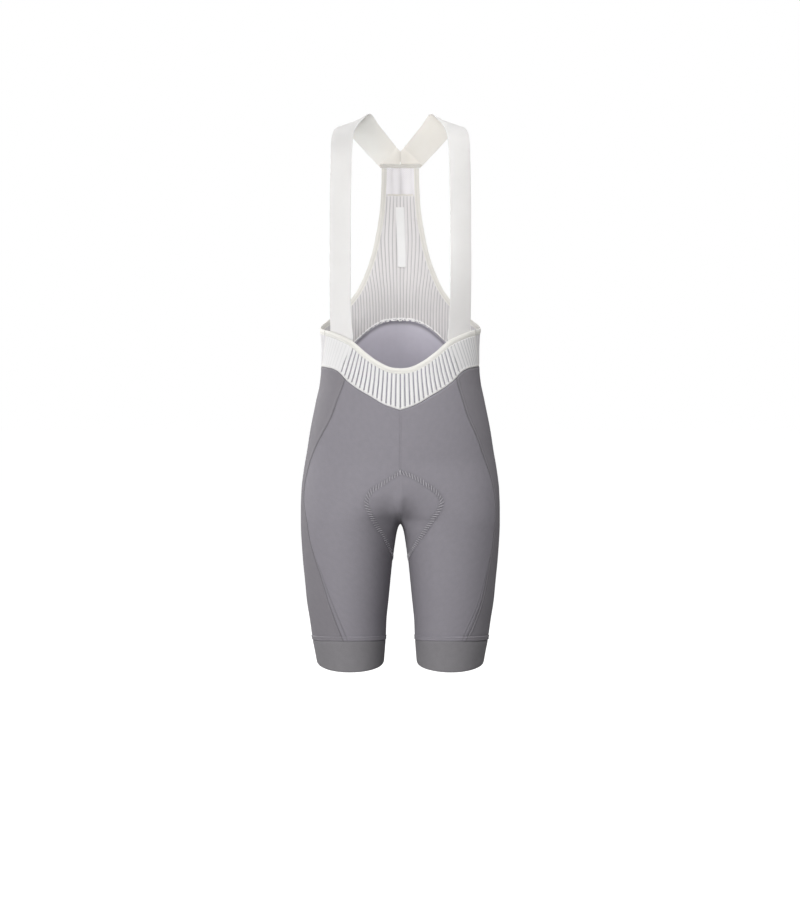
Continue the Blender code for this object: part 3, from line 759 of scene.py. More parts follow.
seatPad = {
    "rise": 0.9, "edge": 9.0, "groove": 0.35, "grooveWidth": 3.4, "shade": 0.2, "shadeWidth": 3.8,
    # how far the pad fills the hollow between the thighs, and more just above the crotch
    "fill": 5.0, "fillWidth": 22.0, "ridge": 0.9, "ridgeWidth": 5.5, "fillTop": -552,
    "fillOver": 45, "low": 16.0, "lowWidth": 13.0, "lowTop": -576, "lowOver": 52,
    "front": (
        # height, turn of the pad's stitched outline on the left and on the right leg
        (-560.5, -1.1, -4.3), (-564.3, 0.6, -3.1), (-568.7, 2.7, -2.3), (-574.4, 4.2, -0.9),
        (-579.4, 5.6, 0.8), (-585.1, 6.8, 2.0), (-590.8, 7.0, 1.5), (-596.4, 6.4, 0.4),
        (-602.8, 4.2, -2.4), (-609.2, 0.3, -6.4), (-615.5, -4.9, -11.8), (-621.3, -10.7, -17.1),
        (-628.0, -18.1, -24.2), (-634.5, -24.0, -30.2), (-641.8, -29.9, -36.1),
        (-649.2, -35.1, -42.5), (-657.4, -42.2, -49.1), (-665.0, -49.0, -55.2),
        (-674.9, -58.1, -63.4), (-682.2, -66.0, -71.0), (-689.0, -76.0, -80.0),
    ),
    "inseam": -694.0,
    "tip": -557.6,
    "back": (
        # height, turn
        (-690, 260), (-675, 245), (-657, 228), (-640, 208), (-622, 190), (-605, 176), (-588, 167),
        (-572, 163.5), (-560, 165), (-551, 170), (-546, 177),
    ),
    "top": -545.0,
}


def padOutline(column):
    front = [(row[1 + column], row[0]) for row in seatPad["front"]]
    back = [(turn, height) for height, turn in seatPad["back"]]
    topFront = (float(innerTurn(np.array(seatPad["tip"]))), seatPad["tip"])
    topBack = (180 - float(innerTurn(np.array(seatPad["top"]))), seatPad["top"])
    firstHalf = [topFront, *front, (-90, seatPad["inseam"])]
    secondHalf = [(270, seatPad["inseam"]), *back, topBack]
    halves = []
    for turn, height in (np.array(half).T for half in (firstHalf, secondHalf)):
        points = onFigure(turn, height)[:, None].repeat(2, 1)
        halves.append(finer(points, np.linspace(0, len(points) - 1, 240), np.arange(2.0))[:, 0])
    path = settled(np.concatenate([halves[0], halves[1][1:]]))
    path[[0, -1], 0] = 0
    return evenly(path, pathStep)


def padRelief(part, grid, turn, away, column):
    # the cloth rises over the pad inside its stitched outline and dips a little into the stitches
    front, height = part == "front", grid[..., 2]
    rows = [(row[0], row[1 + column]) for row in seatPad["front"]] if front else seatPad["back"]
    outline = through(rows, height)[..., 0]
    within = (turn < outline) if front else (turn > outline)
    within &= (height < seatPad["tip" if front else "top"]) & (height > seatPad["inseam"])
    signed = np.where(within, away, -away)
    groove = seatPad["groove"] * bell(away, seatPad["grooveWidth"])
    return seatPad["rise"] * ease((signed + 3) / seatPad["edge"]) - groove


def padPush(grid, facing):
    # how far forward the pad fills the hollow between the thighs, fading out below the crotch
    middle, height = np.abs(grid[..., 0]), grid[..., 2]
    push = seatPad["fill"] * bell(middle, seatPad["fillWidth"])
    push += seatPad["ridge"] * bell(middle, seatPad["ridgeWidth"])
    push *= ease((seatPad["fillTop"] - height) / seatPad["fillOver"]) * np.clip(
        -facing[..., 1], 0, 1
    )
    lower = ease((seatPad["lowTop"] - height) / seatPad["lowOver"])
    push += seatPad["low"] * bell(middle, seatPad["lowWidth"]) * lower
    fade = 9 + 2 * middle
    return push * ease((height - figure["crotch"] + fade) / fade)


creases = (
    # leg, turn and height of the start, turn and height of the end, width, depth
    ("both", -62, -640, -6, -604, 9.0, -0.5), ("both", -70, -652, -22, -640, 7.0, -0.4),
    ("right", -80, -668, -40, -672, 8.0, 0.3), ("left", -78, -672, -48, -664, 6.5, -0.3),
    ("both", 262, -646, 214, -634, 10.0, -1.6), ("left", 258, -664, 206, -660, 9.0, 1.0),
    ("right", 260, -668, 216, -656, 8.0, 0.9), ("both", 250, -690, 222, -698, 8.0, -0.6),
    ("left", 190, -480, 208, -500, 10.0, -0.5), ("right", 168, -470, 186, -494, 12.0, -0.5),
    ("left", 176, -800, 128, -808, 6.0, -0.5), ("right", 205, -798, 160, -806, 6.0, -0.5),
    ("right", 96, -424, 74, -446, 9.0, -0.4), ("left", 88, -420, 70, -438, 8.0, -0.4),
)


def creaseRelief(points, name):
    # soft troughs and ridges that widen and fade along their length
    relief = np.zeros(points.shape[:-1])
    t = np.linspace(0, 1, 40)
    swing = 2.2 * np.sin(t * math.pi)
    for leg, turn0, height0, turn1, height1, width, depth in creases:
        if leg in ("both", name):
            path = onFigure(turn0 + (turn1 - turn0) * t, height0 + (height1 - height0) * t + swing)
            away, along = nearTo(points, path)
            share = along / lengthAlong(path)[-1]
            spread = bell(away, width * (0.7 + 0.5 * share))
            relief += depth * spread * np.sin(share * math.pi) ** 0.6
    return relief


seam = {
    "roll": 0.35, "rollWidth": 1.0, "ridge": 0.55, "ridgeAt": 2.9, "ridgeWidth": 1.7,
    "pucker": 0.12, "line": 1.0, "shade": 0.34, "shadeSecond": 0.22,
    "hemDip": 1.3, "hemShade": 0.5, "hemShadeAt": 4.2,
}


def seamRelief(points, path, ridge=1.0, phase=0.0):
    # the cloth rolls into the seam and stands up over the turned edge beside it, slightly puckered
    away, along = nearTo(points, path)
    pull = np.sin(along / 5.3 + phase + 0.9 * np.sin(along / 31 + phase))
    return (
        -seam["roll"] * bell(away, seam["rollWidth"])
        + ridge * seam["ridge"] * bell(away - seam["ridgeAt"], seam["ridgeWidth"])
        + seam["pucker"] * pull * bell(away, 7.0)
    )


def buildPanels(name, side, column):
    paths, grids = {"pad": padOutline(column)}, {}
    for part, grid, columns in zip(("front", "back"), panelCuts(column), (104, 176)):
        down = closerAtEnds(grid.shape[0] - 1, 204, 0.68)
        across = closerAtEnds(grid.shape[1] - 1, columns, 0.7)
        grids[part] = settled(finer(grid, down, across), 4)
        grids[part][..., 0] = np.maximum(grids[part][..., 0], 0)
    edges = {"slant": ("front", -1), "frontMiddle": ("front", 0), "backMiddle": ("back", -1)}
    for key, (part, end) in edges.items():
        paths[key] = evenly(grids[part][:, end], pathStep)
    height = np.linspace(secondRow[0][0], secondRow[-1][0], 60)
    turn = through(frontSeam, height)[:, column] - through(secondRow, height)[:, 0]
    paths["second"] = evenly(onFigure(turn, height), pathStep)
    for part, grid in grids.items():
        facing, turn, height = outward(grid), turnOf(grid), grid[..., 2]
        away, _ = nearTo(grid, paths["pad"])
        relief = padRelief(part, grid, turn, away, column) + creaseRelief(grid, name)
        relief += seamRelief(grid, paths["slant"], 1.0 if part == "back" else 0.35, 0.6)
        # painted shade: a dark line in the slanted seam's groove, and a dark band along the pad's
        # stitched outline
        shade = seam["shade"] * bell(nearTo(grid, paths["slant"])[0], seam["line"])
        shade += seatPad["shade"] * bell(away, seatPad["shadeWidth"])
        shadeInside, push = 0 * shade, 0 * shade
        hemAway = height - hemHeight(np.clip(turn, 0, 180))
        cuffAway = height - ringHeight(cuffSeam, turn)
        if part == "front":
            relief += 0.3 * seamRelief(grid, paths["frontMiddle"], 0.3, 1.9)
            second, _ = nearTo(grid, paths["second"])
            relief += 0.35 * bell(second - 1.8, 1.4) - 0.3 * bell(second, 0.9)
            # painted shade along the second stitch row's groove
            shade += seam["shadeSecond"] * bell(second, seam["line"])
            push = padPush(grid, facing)
        else:
            relief += seamRelief(grid, paths["backMiddle"], 0.35, 0.2) * ease((-430 - height) / 60)
            # the inside lies in shade right below the puckered hem of the mesh, most at the spine
            spine = 0.3 + 0.7 * ease((turn - 128) / 22)
            shadeInside += seam["hemShade"] * bell(-hemAway - seam["hemShadeAt"], 3.4) * spine
        # nothing stands out at the other pieces, but the leg end rolls over its seam
        relief *= ease(-hemAway / 4 + 0.15) * ease(cuffAway / 3 - 2)
        relief -= seam["hemDip"] * bell(hemAway, 1.8)
        relief += legEnd["rise"] * ease((legEnd["deep"] - cuffAway) / 1.0) * ease(
            cuffAway / 1.2 + 0.1
        )
        relief -= 0.3 * bell(cuffAway - legEnd["deep"] - 0.6, 0.9) + 0.2 * bell(cuffAway - 3.4, 0.8)
        # the tight crotch stays plain, and the cloth runs softly over it from thigh to thigh
        crotchAway = height - figure["crotch"]
        nearCrotch = bell(crotchAway, 7.0) * bell(grid[..., 0], 9.0)
        soft = ease(4 * np.maximum(nearCrotch, bell(crotchAway, 5.0) * bell(grid[..., 0], 24.0)))
        moved = grid + facing * (relief * (1 - nearCrotch))[..., None]
        moved[..., 1] -= push
        for _ in range(14):
            around = moved[:-2, 1:-1] + moved[2:, 1:-1] + moved[1:-1, :-2] + moved[1:-1, 2:]
            moved[1:-1, 1:-1] += (around / 4 - moved[1:-1, 1:-1]) * soft[1:-1, 1:-1, None]
        moved = inset(inset(moved, -seamLap, "blr"), -underLap, "t")
        moved[..., 0] = np.maximum(moved[..., 0], -middleLap)
        finishes = [greyKnit if part == "front" else sideKnit, greyInside]
        shades = {"shade": shade, "shadeInside": shadeInside}
        there, facing = mirrored(moved, side), mirrored(facing, side)
        piece = sheetPiece(f"{part}_panel_{name}", there, finishes, facing, shades)
        addWall(piece, 1.2)
        worn(closedHalf(made(piece), moved, side), "grey_knit", f"{part}_{name}")
    return {key: mirrored(path, side) for key, path in paths.items()}


panelPaths = {name: buildPanels(name, side, column) for column, (name, side) in enumerate(sides)}
print("shorts panels made")

cuff = {
    "wall": 1.4, "columns": 220, "seamRow": 1.2,
    "rows": (
        # share of the way down, how far it stands out
        (0.0, -0.5), (0.02, -0.35), (0.05, 0.0), (0.1, 0.1), (0.45, 0.0), (0.8, 0.0), (0.93, -0.1),
        (0.98, -0.45), (1.0, -0.9),
    ),
}


def buildCuff(name, side):
    turn = np.linspace(-90, 270, cuff["columns"], endpoint=False)
    top, low = ringHeight(cuffSeam, turn), ringHeight(cuffHem, turn, 0.95)
    share = np.linspace(0, 0.12, 10), np.linspace(0.12, 0.88, 22)[1:], np.linspace(0.88, 1, 10)[1:]
    share = np.concatenate(share)
    rise = through(cuff["rows"], share)[:, 0]
    height = top + (low - top) * share[:, None]
    height[0] += seamLap
    grid = onFigure(turn[None] + 0 * height, height)
    facing = outward(grid)
    # small tucks where the gripper's seam gathers the leg, and a faint wave in its lower half
    tucks = 0.08 * np.sin(np.radians(turn * 52)) * bell(share[:, None] - 0.08, 0.08)
    sway = 0.18 * np.sin(np.radians(turn * 5 + 40 * side)) * ease((share[:, None] - 0.4) * 2)
    grid = grid + facing * (rise[:, None] + tucks + sway)[..., None]
    grid, facing = mirrored(grid, side), mirrored(facing, side)
    sewnSheet(
        f"leg_gripper_{name}", grid, [gripperKnit, greyInside], facing, cuff["wall"],
        "grey_knit", [f"cuff_{name}"], ring=True,
    )
    rings = [onFigure(turn, top + up) for up in (legEnd["deep"] - cuff["seamRow"], cuff["seamRow"])]
    return [mirrored(np.concatenate([ring, ring[:1]]), side) for ring in rings]


cuffRings = [buildCuff(name, side) for name, side in sides]
print("leg grippers made")

binding = {
    "wall": 2.2, "width": 8.2, "proud": 0.5, "crown": 0.35, "stations": 281, "coarse": 61,
    "round": 40, "foldAt": 5.2, "fold": 0.45, "rowAt": 1.4, "row": 0.2, "shade": 0.24,
}


def edgeLines(stations):
    # the bound edge of the waist, armhole and neck at even stations, and the way in from it
    rows = np.array(boundEdge, dtype=float)
    length = lengthAlong(onFigure(rows[:, 0], rows[:, 1]))
    at = np.linspace(0, length[-1], stations)
    turn, height = through(np.column_stack([length, rows]), at, limited=False).T
    edge = onFigure(turn, height)
    along = np.gradient(edge, axis=0)
    along[0] = (1, 0, 0)
    along /= np.linalg.norm(along, axis=1, keepdims=True)
    inward = np.cross(along, outward(edge))
    inward *= np.sign((inward * (0, 0, -1)).sum(1))[0]
    return edge, inward


coarseEdge, coarseInward = edgeLines(binding["coarse"])
fineEdge, fineInward = edgeLines(binding["stations"])
tapeLine = settled(coarseEdge + coarseInward * (binding["width"] - tapeGap))


def panelTop(turn):
    # how high the mesh reaches under the binding
    turns = turnOf(tapeLine)
    order = np.argsort(turns)
    return np.interp(turn, turns[order], tapeLine[order, 2])


def buildBinding(name, node, stations, side):
    # a folded tape: a flat tube round the cut edge, with a fold line and a stitch row pressed in
    edge, inward = fineEdge[stations], fineInward[stations]
    angle = np.linspace(0, 2 * math.pi, binding["round"], endpoint=False)
    half, thick = binding["width"] / 2, binding["wall"] / 2
    acrossTape = half + half * np.sign(np.cos(angle)) * np.abs(np.cos(angle)) ** 0.45
    depth = thick * np.sign(np.sin(angle)) * np.abs(np.sin(angle)) ** 0.55
    sagged = binding["crown"] * ((acrossTape - half) / half) ** 2
    fold, row = acrossTape - binding["foldAt"], acrossTape - binding["rowAt"]
    pressed = binding["fold"] * bell(fold, 0.7) + binding["row"] * bell(row, 0.6)
    out = depth + binding["proud"] - thick - sagged - pressed * np.sign(depth)
    grid = []
    for aside, proud in zip(acrossTape, out):
        line = settled(edge + inward * aside)
        grid.append(line + outward(line) * proud)
    grid = np.array(grid)
    if side == 0:
        grid = np.concatenate([mirrored(grid[:, :0:-1], -1), grid], axis=1)
        side = 1
    grid = mirrored(grid, side)
    rounds, length = grid.shape[:2]
    faces = []
    for r in range(rounds):
        n = (r + 1) % rounds
        a, b = r * length, n * length
        faces += [(a + c, a + c + 1, b + c + 1, b + c) for c in range(length - 1)]
    faces += [
        [r * length for r in range(rounds)][::-1], [r * length + length - 1 for r in range(rounds)]
    ]
    centre = grid.mean(0)[length // 2]
    a, b, _, d = (grid.reshape(-1, 3)[i] for i in faces[length // 2])
    if np.cross(b - a, d - a) @ (a - centre) < 0:
        faces = [face[::-1] for face in faces]
    place = np.zeros_like(grid)
    place[..., 0] = acrossTape[:, None]
    place[..., 1] = lengthAlong(grid[0])[None]
    # painted shade in the pressed fold line and along the stitch row
    shade = binding["shade"] * (bell(fold, 0.9) + 0.35 * bell(row, 0.8))
    shade = np.repeat(shade[:, None], length, 1)
    piece = meshPiece(name, grid, faces, [bindingTape], {"cloth": place, "shade": shade})
    worn(piece, "cream_binding", node)
    tapeLength = float(lengthAlong(grid[0])[-1])
    return grid


# the waist and armhole tapes meet at the side seam
meet = int(np.argmin(np.abs(turnOf(coarseEdge) - sideSeam["top"])))
meet = meet * (binding["stations"] - 1) // (binding["coarse"] - 1)
waistTape = buildBinding("waist_binding", "binding_waist", slice(0, meet), 0)
armTapes = [
    buildBinding(f"armhole_binding_{name}", f"binding_{name}", slice(meet, None), side)
    for name, side in sides
]
print("bindings made")

# the straps' feet lie behind the waistband
strap = {
    "wall": 1.2, "inset": 3.8, "foot": -77.0, "bendRow": 8, "columns": 25, "perRow": 7,
    "endRows": 7, "shade": 0.1, "shadeFoot": 0.1,
    "shadeInsideLeft": 0.15, "shadeInsideRight": 0.155,
    "base": (
        # turn and height of the outer edge, then of the inner edge, inside the waistband
        (78.3, -391, 48.5, -401.5), (70, -370, 42.5, -384), (62.5, -350, 37.2, -366),
        (62.2, -337, 36.9, -352),
    ),
    "run": (
        # outer edge across, deep and up, then the inner edge
        (108.0, -43.0, -305, 75.3, -70.0, -312), (108.4, -48.5, -260, 76.0, -76.0, -262),
        (108.3, -51.0, -200, 76.0, -79.0, -200), (108.0, -51.0, -140, 75.5, -79.0, -140),
        (107.3, -49.0, -95, 74.6, -76.5, -95), (106.7, -43.5, -65, 73.6, -70.0, -62),
        (105.6, -31.0, -44, 70.8, -55.0, -39), (101.5, -9.0, -28.5, 65.0, -33.0, -24),
        (91.5, 12.0, -22, 56.5, -12.0, -11.5), (81.5, 29.0, -29, 47.2, 8.0, -2),
        (69.0, 48.0, -42, 34.5, 32.0, -15.8), (52.0, 67.0, -58.6, 20.5, 55.0, -30.8),
    ),
    "end": (36.0, -73.9, 5.5, -46.8),
    "wrinkles": (
        # side, share along the strap, share across it, half length, width, depth
        ("right", 0.235, 0.12, 7, 1.6, 0.35), ("right", 0.262, 0.2, 9, 1.4, 0.3),
        ("right", 0.285, 0.1, 6, 1.3, 0.3), ("right", 0.33, 0.18, 8, 1.8, 0.35),
        ("right", 0.40, 0.15, 10, 2.2, 0.3), ("left", 0.245, 0.85, 6, 1.8, 0.25),
        ("left", 0.30, 0.12, 7, 2.0, 0.25), ("left", 0.64, 0.5, 14, 3.0, 0.3),
        ("right", 0.66, 0.45, 13, 3.0, 0.3),
    ),
}

waistband = {
    "ribs": 23, "perRib": 8, "wall": 1.1, "rise": 0.65, "rows": 26, "paintedStrapLightRight": 0.93,
    "paintedStrapLightLeft": 0.72, "hemFrom": 1.0, "hem": 4.5, "top": 1.6, "side": 1.2,
}
waistFan = (
    # rib, turn at the top edge, turn at the hem
    (0, 0, 0), (7, 20.6, 22.5), (13, 35.8, 44), (18, 51, 62.5), (23, 67, 80),
)
backBib = {
    "ribs": 38, "perRib": 6, "wall": 1.0, "rise": 0.45, "rows": 52, "shade": 0.13, "sunk": 0.7,
    "hemFrom": 0.5, "hem": 3.0, "top": 2.0, "side": 1.0,
}
backFan = (
    # rib, turn from centre back at the hem
    (0, 0), (11.2, 25.8), (22.4, 54.5), (33.5, 87), (38, 100),
)
backSqueeze = (
    # height, how far the ribs spread or draw together
    (-345, 1.0), (-312, 0.985), (-284, 1.0), (-240, 1.12), (-195, 1.18), (-150, 1.05), (-128, 0.98),
)


def ribPlaces(look):
    # the rib that each column of points lies on, counted from the middle
    count = look["ribs"] * look["perRib"]
    return np.arange(-count, count + 1) / look["perRib"]


def fromRow(grid, row):
    return np.linalg.norm(grid - grid[row][None], axis=2)


def standing(grid, ribs, look):
    # how freely the ribs stand: not at all where the mesh is held in its seams
    toHem = (fromRow(grid, -1) - look["hemFrom"]) / look["hem"]
    toSide = (look["ribs"] - np.abs(ribs))[None] * look["side"]
    return ease(toHem) * ease(fromRow(grid, 0) / look["top"]) * ease(toSide)


def ribbedSheet(name, node, grid, facing, ribs, look, held, finish, shade):
    given = {"ribs": np.tile(ribs, (len(grid), 1)), "held": held, "shade": shade}
    piece = sheetPiece(name, grid, [finish], facing, given)
    addTree(piece, ribRelief, {"Rib rise": look["rise"] * mm, "Line share": 0.34, "Mesh": finish})
    made(piece)
    piece.data.materials.clear()
    piece.data.materials.append(finish)
    addWall(piece, look["wall"])
    worn(made(piece), "white_mesh", node)


def buildWaistband():
    ribs = ribPlaces(waistband)
    fan = through(waistFan, np.abs(ribs))
    top = np.stack([fan[:, 0], panelTop(fan[:, 0])], axis=-1)
    low = np.stack([fan[:, 1], hemHeight(fan[:, 1])], axis=-1)
    share = np.linspace(0, 1, waistband["rows"])[:, None, None]
    cut = top * (1 - share) + low * share
    grid = onFigure(cut[..., 0], cut[..., 1])
    grid[..., 0] *= np.where(ribs < 0, -1.0, 1.0)
    grid = inset(grid, -seamLap, "blr")
    facing = outward(grid)
    held = standing(grid, ribs, waistband)
    # painted light: where the strap lies behind, the open lines are made opaque and rib-white,
    # standing for the lit strap seen through them, and the ribs stand lower there; more on the
    # right than on the left
    inner = through([(row[3], row[2]) for row in strap["base"]], grid[..., 2])[..., 0]
    paintedStrapLight = ease((turnOf(grid) - inner + 1.5) / 3)
    held *= 1 - np.where(ribs < 0, waistband["paintedStrapLightRight"], waistband["paintedStrapLightLeft"])[None] * paintedStrapLight
    # the turned hem stands a little proud, then dips into its stitch row
    hemAway = fromRow(grid, -1)
    relief = -0.25 + 0.35 * bell(hemAway - 2.2, 1.4) - 0.3 * bell(hemAway - 4.6, 0.8)
    moved = grid + facing * relief[..., None]
    ribbedSheet(
        "ribbed_waistband", "front_waistband", moved, facing, ribs, waistband, held,
        ribMesh, 0 * held,
    )
    return grid


def buildBackBib():
    ribs = ribPlaces(backBib)
    base = through(backFan, np.abs(ribs))[:, 0]
    hem = hemHeight(180 - base)
    lean = (180 - sideSeam["top"] - base[-1]) * (np.abs(ribs) / backBib["ribs"]) ** 6
    seamRise = panelTop(sideSeam["top"]) - hemHeight(sideSeam["bottom"])

    def turnAt(height):
        squeeze = through(backSqueeze, height)[..., 0]
        return base * squeeze + lean * np.clip((height - hem) / seamRise, 0, 1)

    # each rib runs up until it meets the binding or the neck seam
    low, high = hem.copy(), np.full_like(hem, neckSeam)
    for _ in range(40):
        middle = (low + high) / 2
        under = middle < panelTop(180 - turnAt(middle))
        low, high = np.where(under, middle, low), np.where(under, high, middle)
    share = np.linspace(0, 1, backBib["rows"])[:, None]
    height = low * (1 - share) + hem * share
    grid = onFigure(180 - np.array([turnAt(row) for row in height]), height)
    grid[..., 0] *= np.where(ribs < 0, -1.0, 1.0)
    grid = inset(inset(grid, -seamLap, "blr"), -seamLap, "t")
    facing = outward(grid)
    held = standing(grid, ribs, backBib)
    # the mesh gathers slightly along its hem and sways over the back
    hemAway = fromRow(grid, -1)
    gather = 0.25 * np.sin(ribs * 2.1 + np.sin(ribs * 0.7)) * bell(hemAway, 14)
    sway = 0.5 * np.sin(grid[..., 0] / 21 + grid[..., 2] / 37)
    sway *= ease(hemAway / 60) * ease(fromRow(grid, 0) / 24)
    moved = grid + facing * (gather + sway - backBib["sunk"])[..., None]
    # painted shade: the mesh is darker towards its hem
    shade = backBib["shade"] * ease((-235 - grid[..., 2]) / 75)
    ribbedSheet(
        "ribbed_back_bib", "back_bib", moved, facing, ribs, backBib, held,
        shadedLineRibMesh, shade,
    )


waistGrid = buildWaistband()
buildBackBib()
print("ribbed mesh made")

neckPanel = {
    "wall": 1.1,
    "folds": (
        # place across, lean to its foot, half width, depth, how much painted shade lies in it
        (-12.0, -1.0, 3.8, -1.3, 0.11), (0.8, 0.6, 4.0, -2.2, 0.24), (17.5, 1.2, 3.4, -1.1, 0.09),
    ),
}


def buildNeckPanel():
    levels = np.linspace(neckTop, neckSeam, 36)
    across = np.linspace(-1, 1, 101)
    order = np.argsort(tapeLine[:, 2])
    edge = 180 - np.interp(levels, tapeLine[order, 2], turnOf(tapeLine)[order])
    turn = 180 - edge[:, None] * across[None]
    beyond = turn > 180
    grid = onFigure(np.where(beyond, 360 - turn, turn), levels[:, None] + 0 * turn)
    grid[..., 0] *= np.where(beyond, -1, 1)
    grid = inset(grid, -seamLap)
    facing = outward(grid)
    down = np.linspace(0, 1, len(levels))[:, None]
    fold, shade = 0 * grid[..., 0], 0 * grid[..., 0]
    for place, lean, wide, depth, tone in neckPanel["folds"]:
        row = bell(grid[..., 0] - place - lean * down, wide * (0.6 + 0.6 * down))
        fold += depth * row
        # painted shade in each fold
        shade += tone * row * (0.6 + 0.4 * down)
    grid = grid - facing * ((0.9 + fold) * (1 - across**8))[..., None]
    sewnSheet(
        "neck_net_panel", grid, [neckNet], facing, neckPanel["wall"],
        "white_mesh", ["neck_panel"], {"shade": shade},
    )


buildNeckPanel()


def settledBack(acrossAndHeight):
    # points on the back of the figure, straight behind places across and up
    x, z = acrossAndHeight.T
    _, half, _, back = lobes(z)
    return np.stack([x, back * np.sqrt(1 - (x / half) ** 2), z], axis=-1)


def strapCut():
    # a coarse grid of a strap up to the flat join behind, and the row where the join ends
    base = []
    for outerTurn, outerHeight, nearTurn, nearHeight in strap["base"]:
        ends = onFigure([outerTurn, nearTurn], [outerHeight, nearHeight])
        base.append((ends - outward(ends) * strap["inset"]).reshape(-1))
    outerX, outerZ, innerX, innerZ = strap["end"]
    end = settledBack(np.array([[outerX, outerZ], [innerX, innerZ]]))
    rows = np.array(base + list(strap["run"]) + [end.reshape(-1)])
    length = lengthAlong((rows[:, :3] + rows[:, 3:]) / 2)
    bend = length[strap["bendRow"]]
    at = np.concatenate([np.linspace(0, bend, 13), np.linspace(bend, length[-1], 17)[1:]])
    lines = through(np.column_stack([length, rows]), at, limited=False)
    outer, inner = lines[:, None, :3], lines[:, None, 3:]
    grid = outer + (inner - outer) * np.linspace(0, 1, 5)[None, :, None]
    aim = grid[-1] - grid[-2]
    aim /= np.linalg.norm(aim, axis=1, keepdims=True)
    toFoot = (grid[-1, :, 2] - strap["foot"]) / -aim[:, 2]
    toMiddle = grid[-1, :, 0] / -aim[:, 0]
    last = grid[-1] + aim * np.minimum(toFoot, toMiddle)[:, None]
    grid[-1] = settledBack(grid[-1][:, [0, 2]])
    return grid, settledBack(last[:, [0, 2]])


def buildStrap(name, side):
    coarse, last = strapCut()
    columns = np.linspace(0, 4, strap["columns"])
    rows = np.linspace(0, len(coarse) - 1, (len(coarse) - 1) * strap["perRow"] + 1)
    grid = finer(coarse, rows, columns)
    last = finer(last[None].repeat(2, 0), np.arange(2.0), columns)[0]
    steps = np.linspace(0, 1, strap["endRows"] + 1)[1:, None, None]
    grid = np.concatenate([grid, grid[-1:] * (1 - steps) + last[None] * steps])
    facing = np.cross(np.gradient(grid, axis=0), np.gradient(grid, axis=1))
    facing /= np.linalg.norm(facing, axis=2, keepdims=True)
    if facing[60, 12] @ np.array([0.6, -0.5, 0.3]) < 0:
        facing = -facing
    share = np.linspace(0, 1, strap["columns"])[None]
    along = lengthAlong(grid[:, 12])
    runs = along[:, None] / along[-1]
    width = np.linalg.norm(grid[:, -1] - grid[:, 0], axis=1)[:, None]
    # a thin selvedge along both edges, a soft hollow between them, and a few small wrinkles
    edge = np.minimum(share, 1 - share) * width
    relief = 0.12 * bell(edge - 1.2, 0.9) - 0.1 * bell(edge - 3.0, 0.8)
    relief = relief - 0.5 * (2 * share - 1) ** 2 * ease(runs * 6 - 1.2) * ease((0.93 - runs) * 8)
    for strapSide, place, across, half, wide, depth in strap["wrinkles"]:
        if strapSide == name:
            aside = (share - across) * width
            relief = relief - depth * bell((runs - place) * along[-1], wide) * bell(aside, half)
    grid = grid + facing * relief[..., None]
    grid[..., 0] = np.maximum(grid[..., 0], -middleLap)
    # painted shade on both faces where the elastic is sewn flat at the back
    rowsDown = np.arange(len(grid))[:, None] + 0 * grid[..., 0]
    shade = strap["shade"] * ease((rowsDown - len(rows) + 5) / 8)
    # painted shade on the inner face, even on the left strap and deepening towards the middle on
    # the right, and on the left strap's outer face towards its foot
    if name == "left":
        shadeInside = shade + strap["shadeInsideLeft"]
        shade = shade + strap["shadeFoot"] * ease((0.5 - runs) * 2.8)
    else:
        shadeInside = shade + strap["shadeInsideRight"] * np.clip(1 - grid[..., 0] / 50, 0, 1)
    finishes, shades = [strapElastic, strapInside], {"shade": shade, "shadeInside": shadeInside}
    there, facing = mirrored(grid, side), mirrored(facing, side)
    piece = sheetPiece(f"shoulder_strap_{name}", there, finishes, facing, shades)
    addWall(piece, strap["wall"], 0)
    worn(closedHalf(made(piece), grid, side), "strap_elastic", f"strap_{name}")


for name, side in sides:
    buildStrap(name, side)
print("straps made")


def backPatch(left, right, top, bottom, columns, rows, lean=0.0):
    # a grid on the back of the figure between two places across and two heights
    x = np.linspace(left, right, columns)[None] + np.linspace(0, lean, rows)[:, None]
    z = np.linspace(top, bottom, rows)[:, None] + 0 * x
    return settledBack(np.stack([x.ravel(), z.ravel()], axis=-1)).reshape(rows, columns, 3)


lip = {
    "half": 32.5, "top": -71.9, "bottom": -78.2, "columns": 111, "rows": 15, "wall": 0.96,
    "gap": 1.3, "wander": 0.45, "rowAt": 0.55,
}
label = {
    "frame": (-7.4, 5.8, -140.0, -236.0), "columns": 15, "rows": 90, "lean": 3.2,
    "wall": 0.7, "gap": 2.55,
}
allowance = {
    "from": 84.0, "up": 3.2, "down": 0.5, "wave": 2.0, "stand": 2.6, "wall": 0.7, "gap": 1.7,
    "columns": 560, "rows": 11,
}


def wander(across):
    # a seam sewn over folded elastic never runs quite straight
    return np.sin(across / 4.4 + 0.8 * np.sin(across / 11))


def buildLip():
    grid = backPatch(
        -lip["half"], lip["half"], lip["top"], lip["bottom"], lip["columns"], lip["rows"]
    )
    x, share = grid[..., 0], np.linspace(-1, 1, lip["rows"])[:, None]
    grid[..., 2] += lip["wander"] * wander(x) * (0.6 + 0.4 * share)
    facing = -outward(grid)
    puff = 0.4 * (1 - share**2) + 0.12 * np.sin(x / 1.9)
    puff = puff - 0.3 * bell(share - lip["rowAt"], 0.12) - 0.3 * bell(share + lip["rowAt"], 0.12)
    grid = grid + facing * (lip["gap"] + puff)[..., None]
    sewnSheet(
        "strap_seam_lip", grid, [bindingTape], facing, lip["wall"],
        "cream_binding", ["strap_lip"],
    )


def buildLabel():
    grid = backPatch(*label["frame"], label["columns"], label["rows"], label["lean"])
    facing = -outward(grid)
    u = np.linspace(-1, 1, label["columns"])[None]
    v = np.linspace(0, 1, label["rows"])[:, None]
    lift = 0.25 * u**4 + 0.3 * ease((v - 0.96) * 25) + 0.12 * np.sin(v * 22 + u)
    grid = grid + facing * (label["gap"] + lift)[..., None]
    sewnSheet(
        "blank_label", grid, [labelSatin], facing, label["wall"], "label", ["label"]
    )


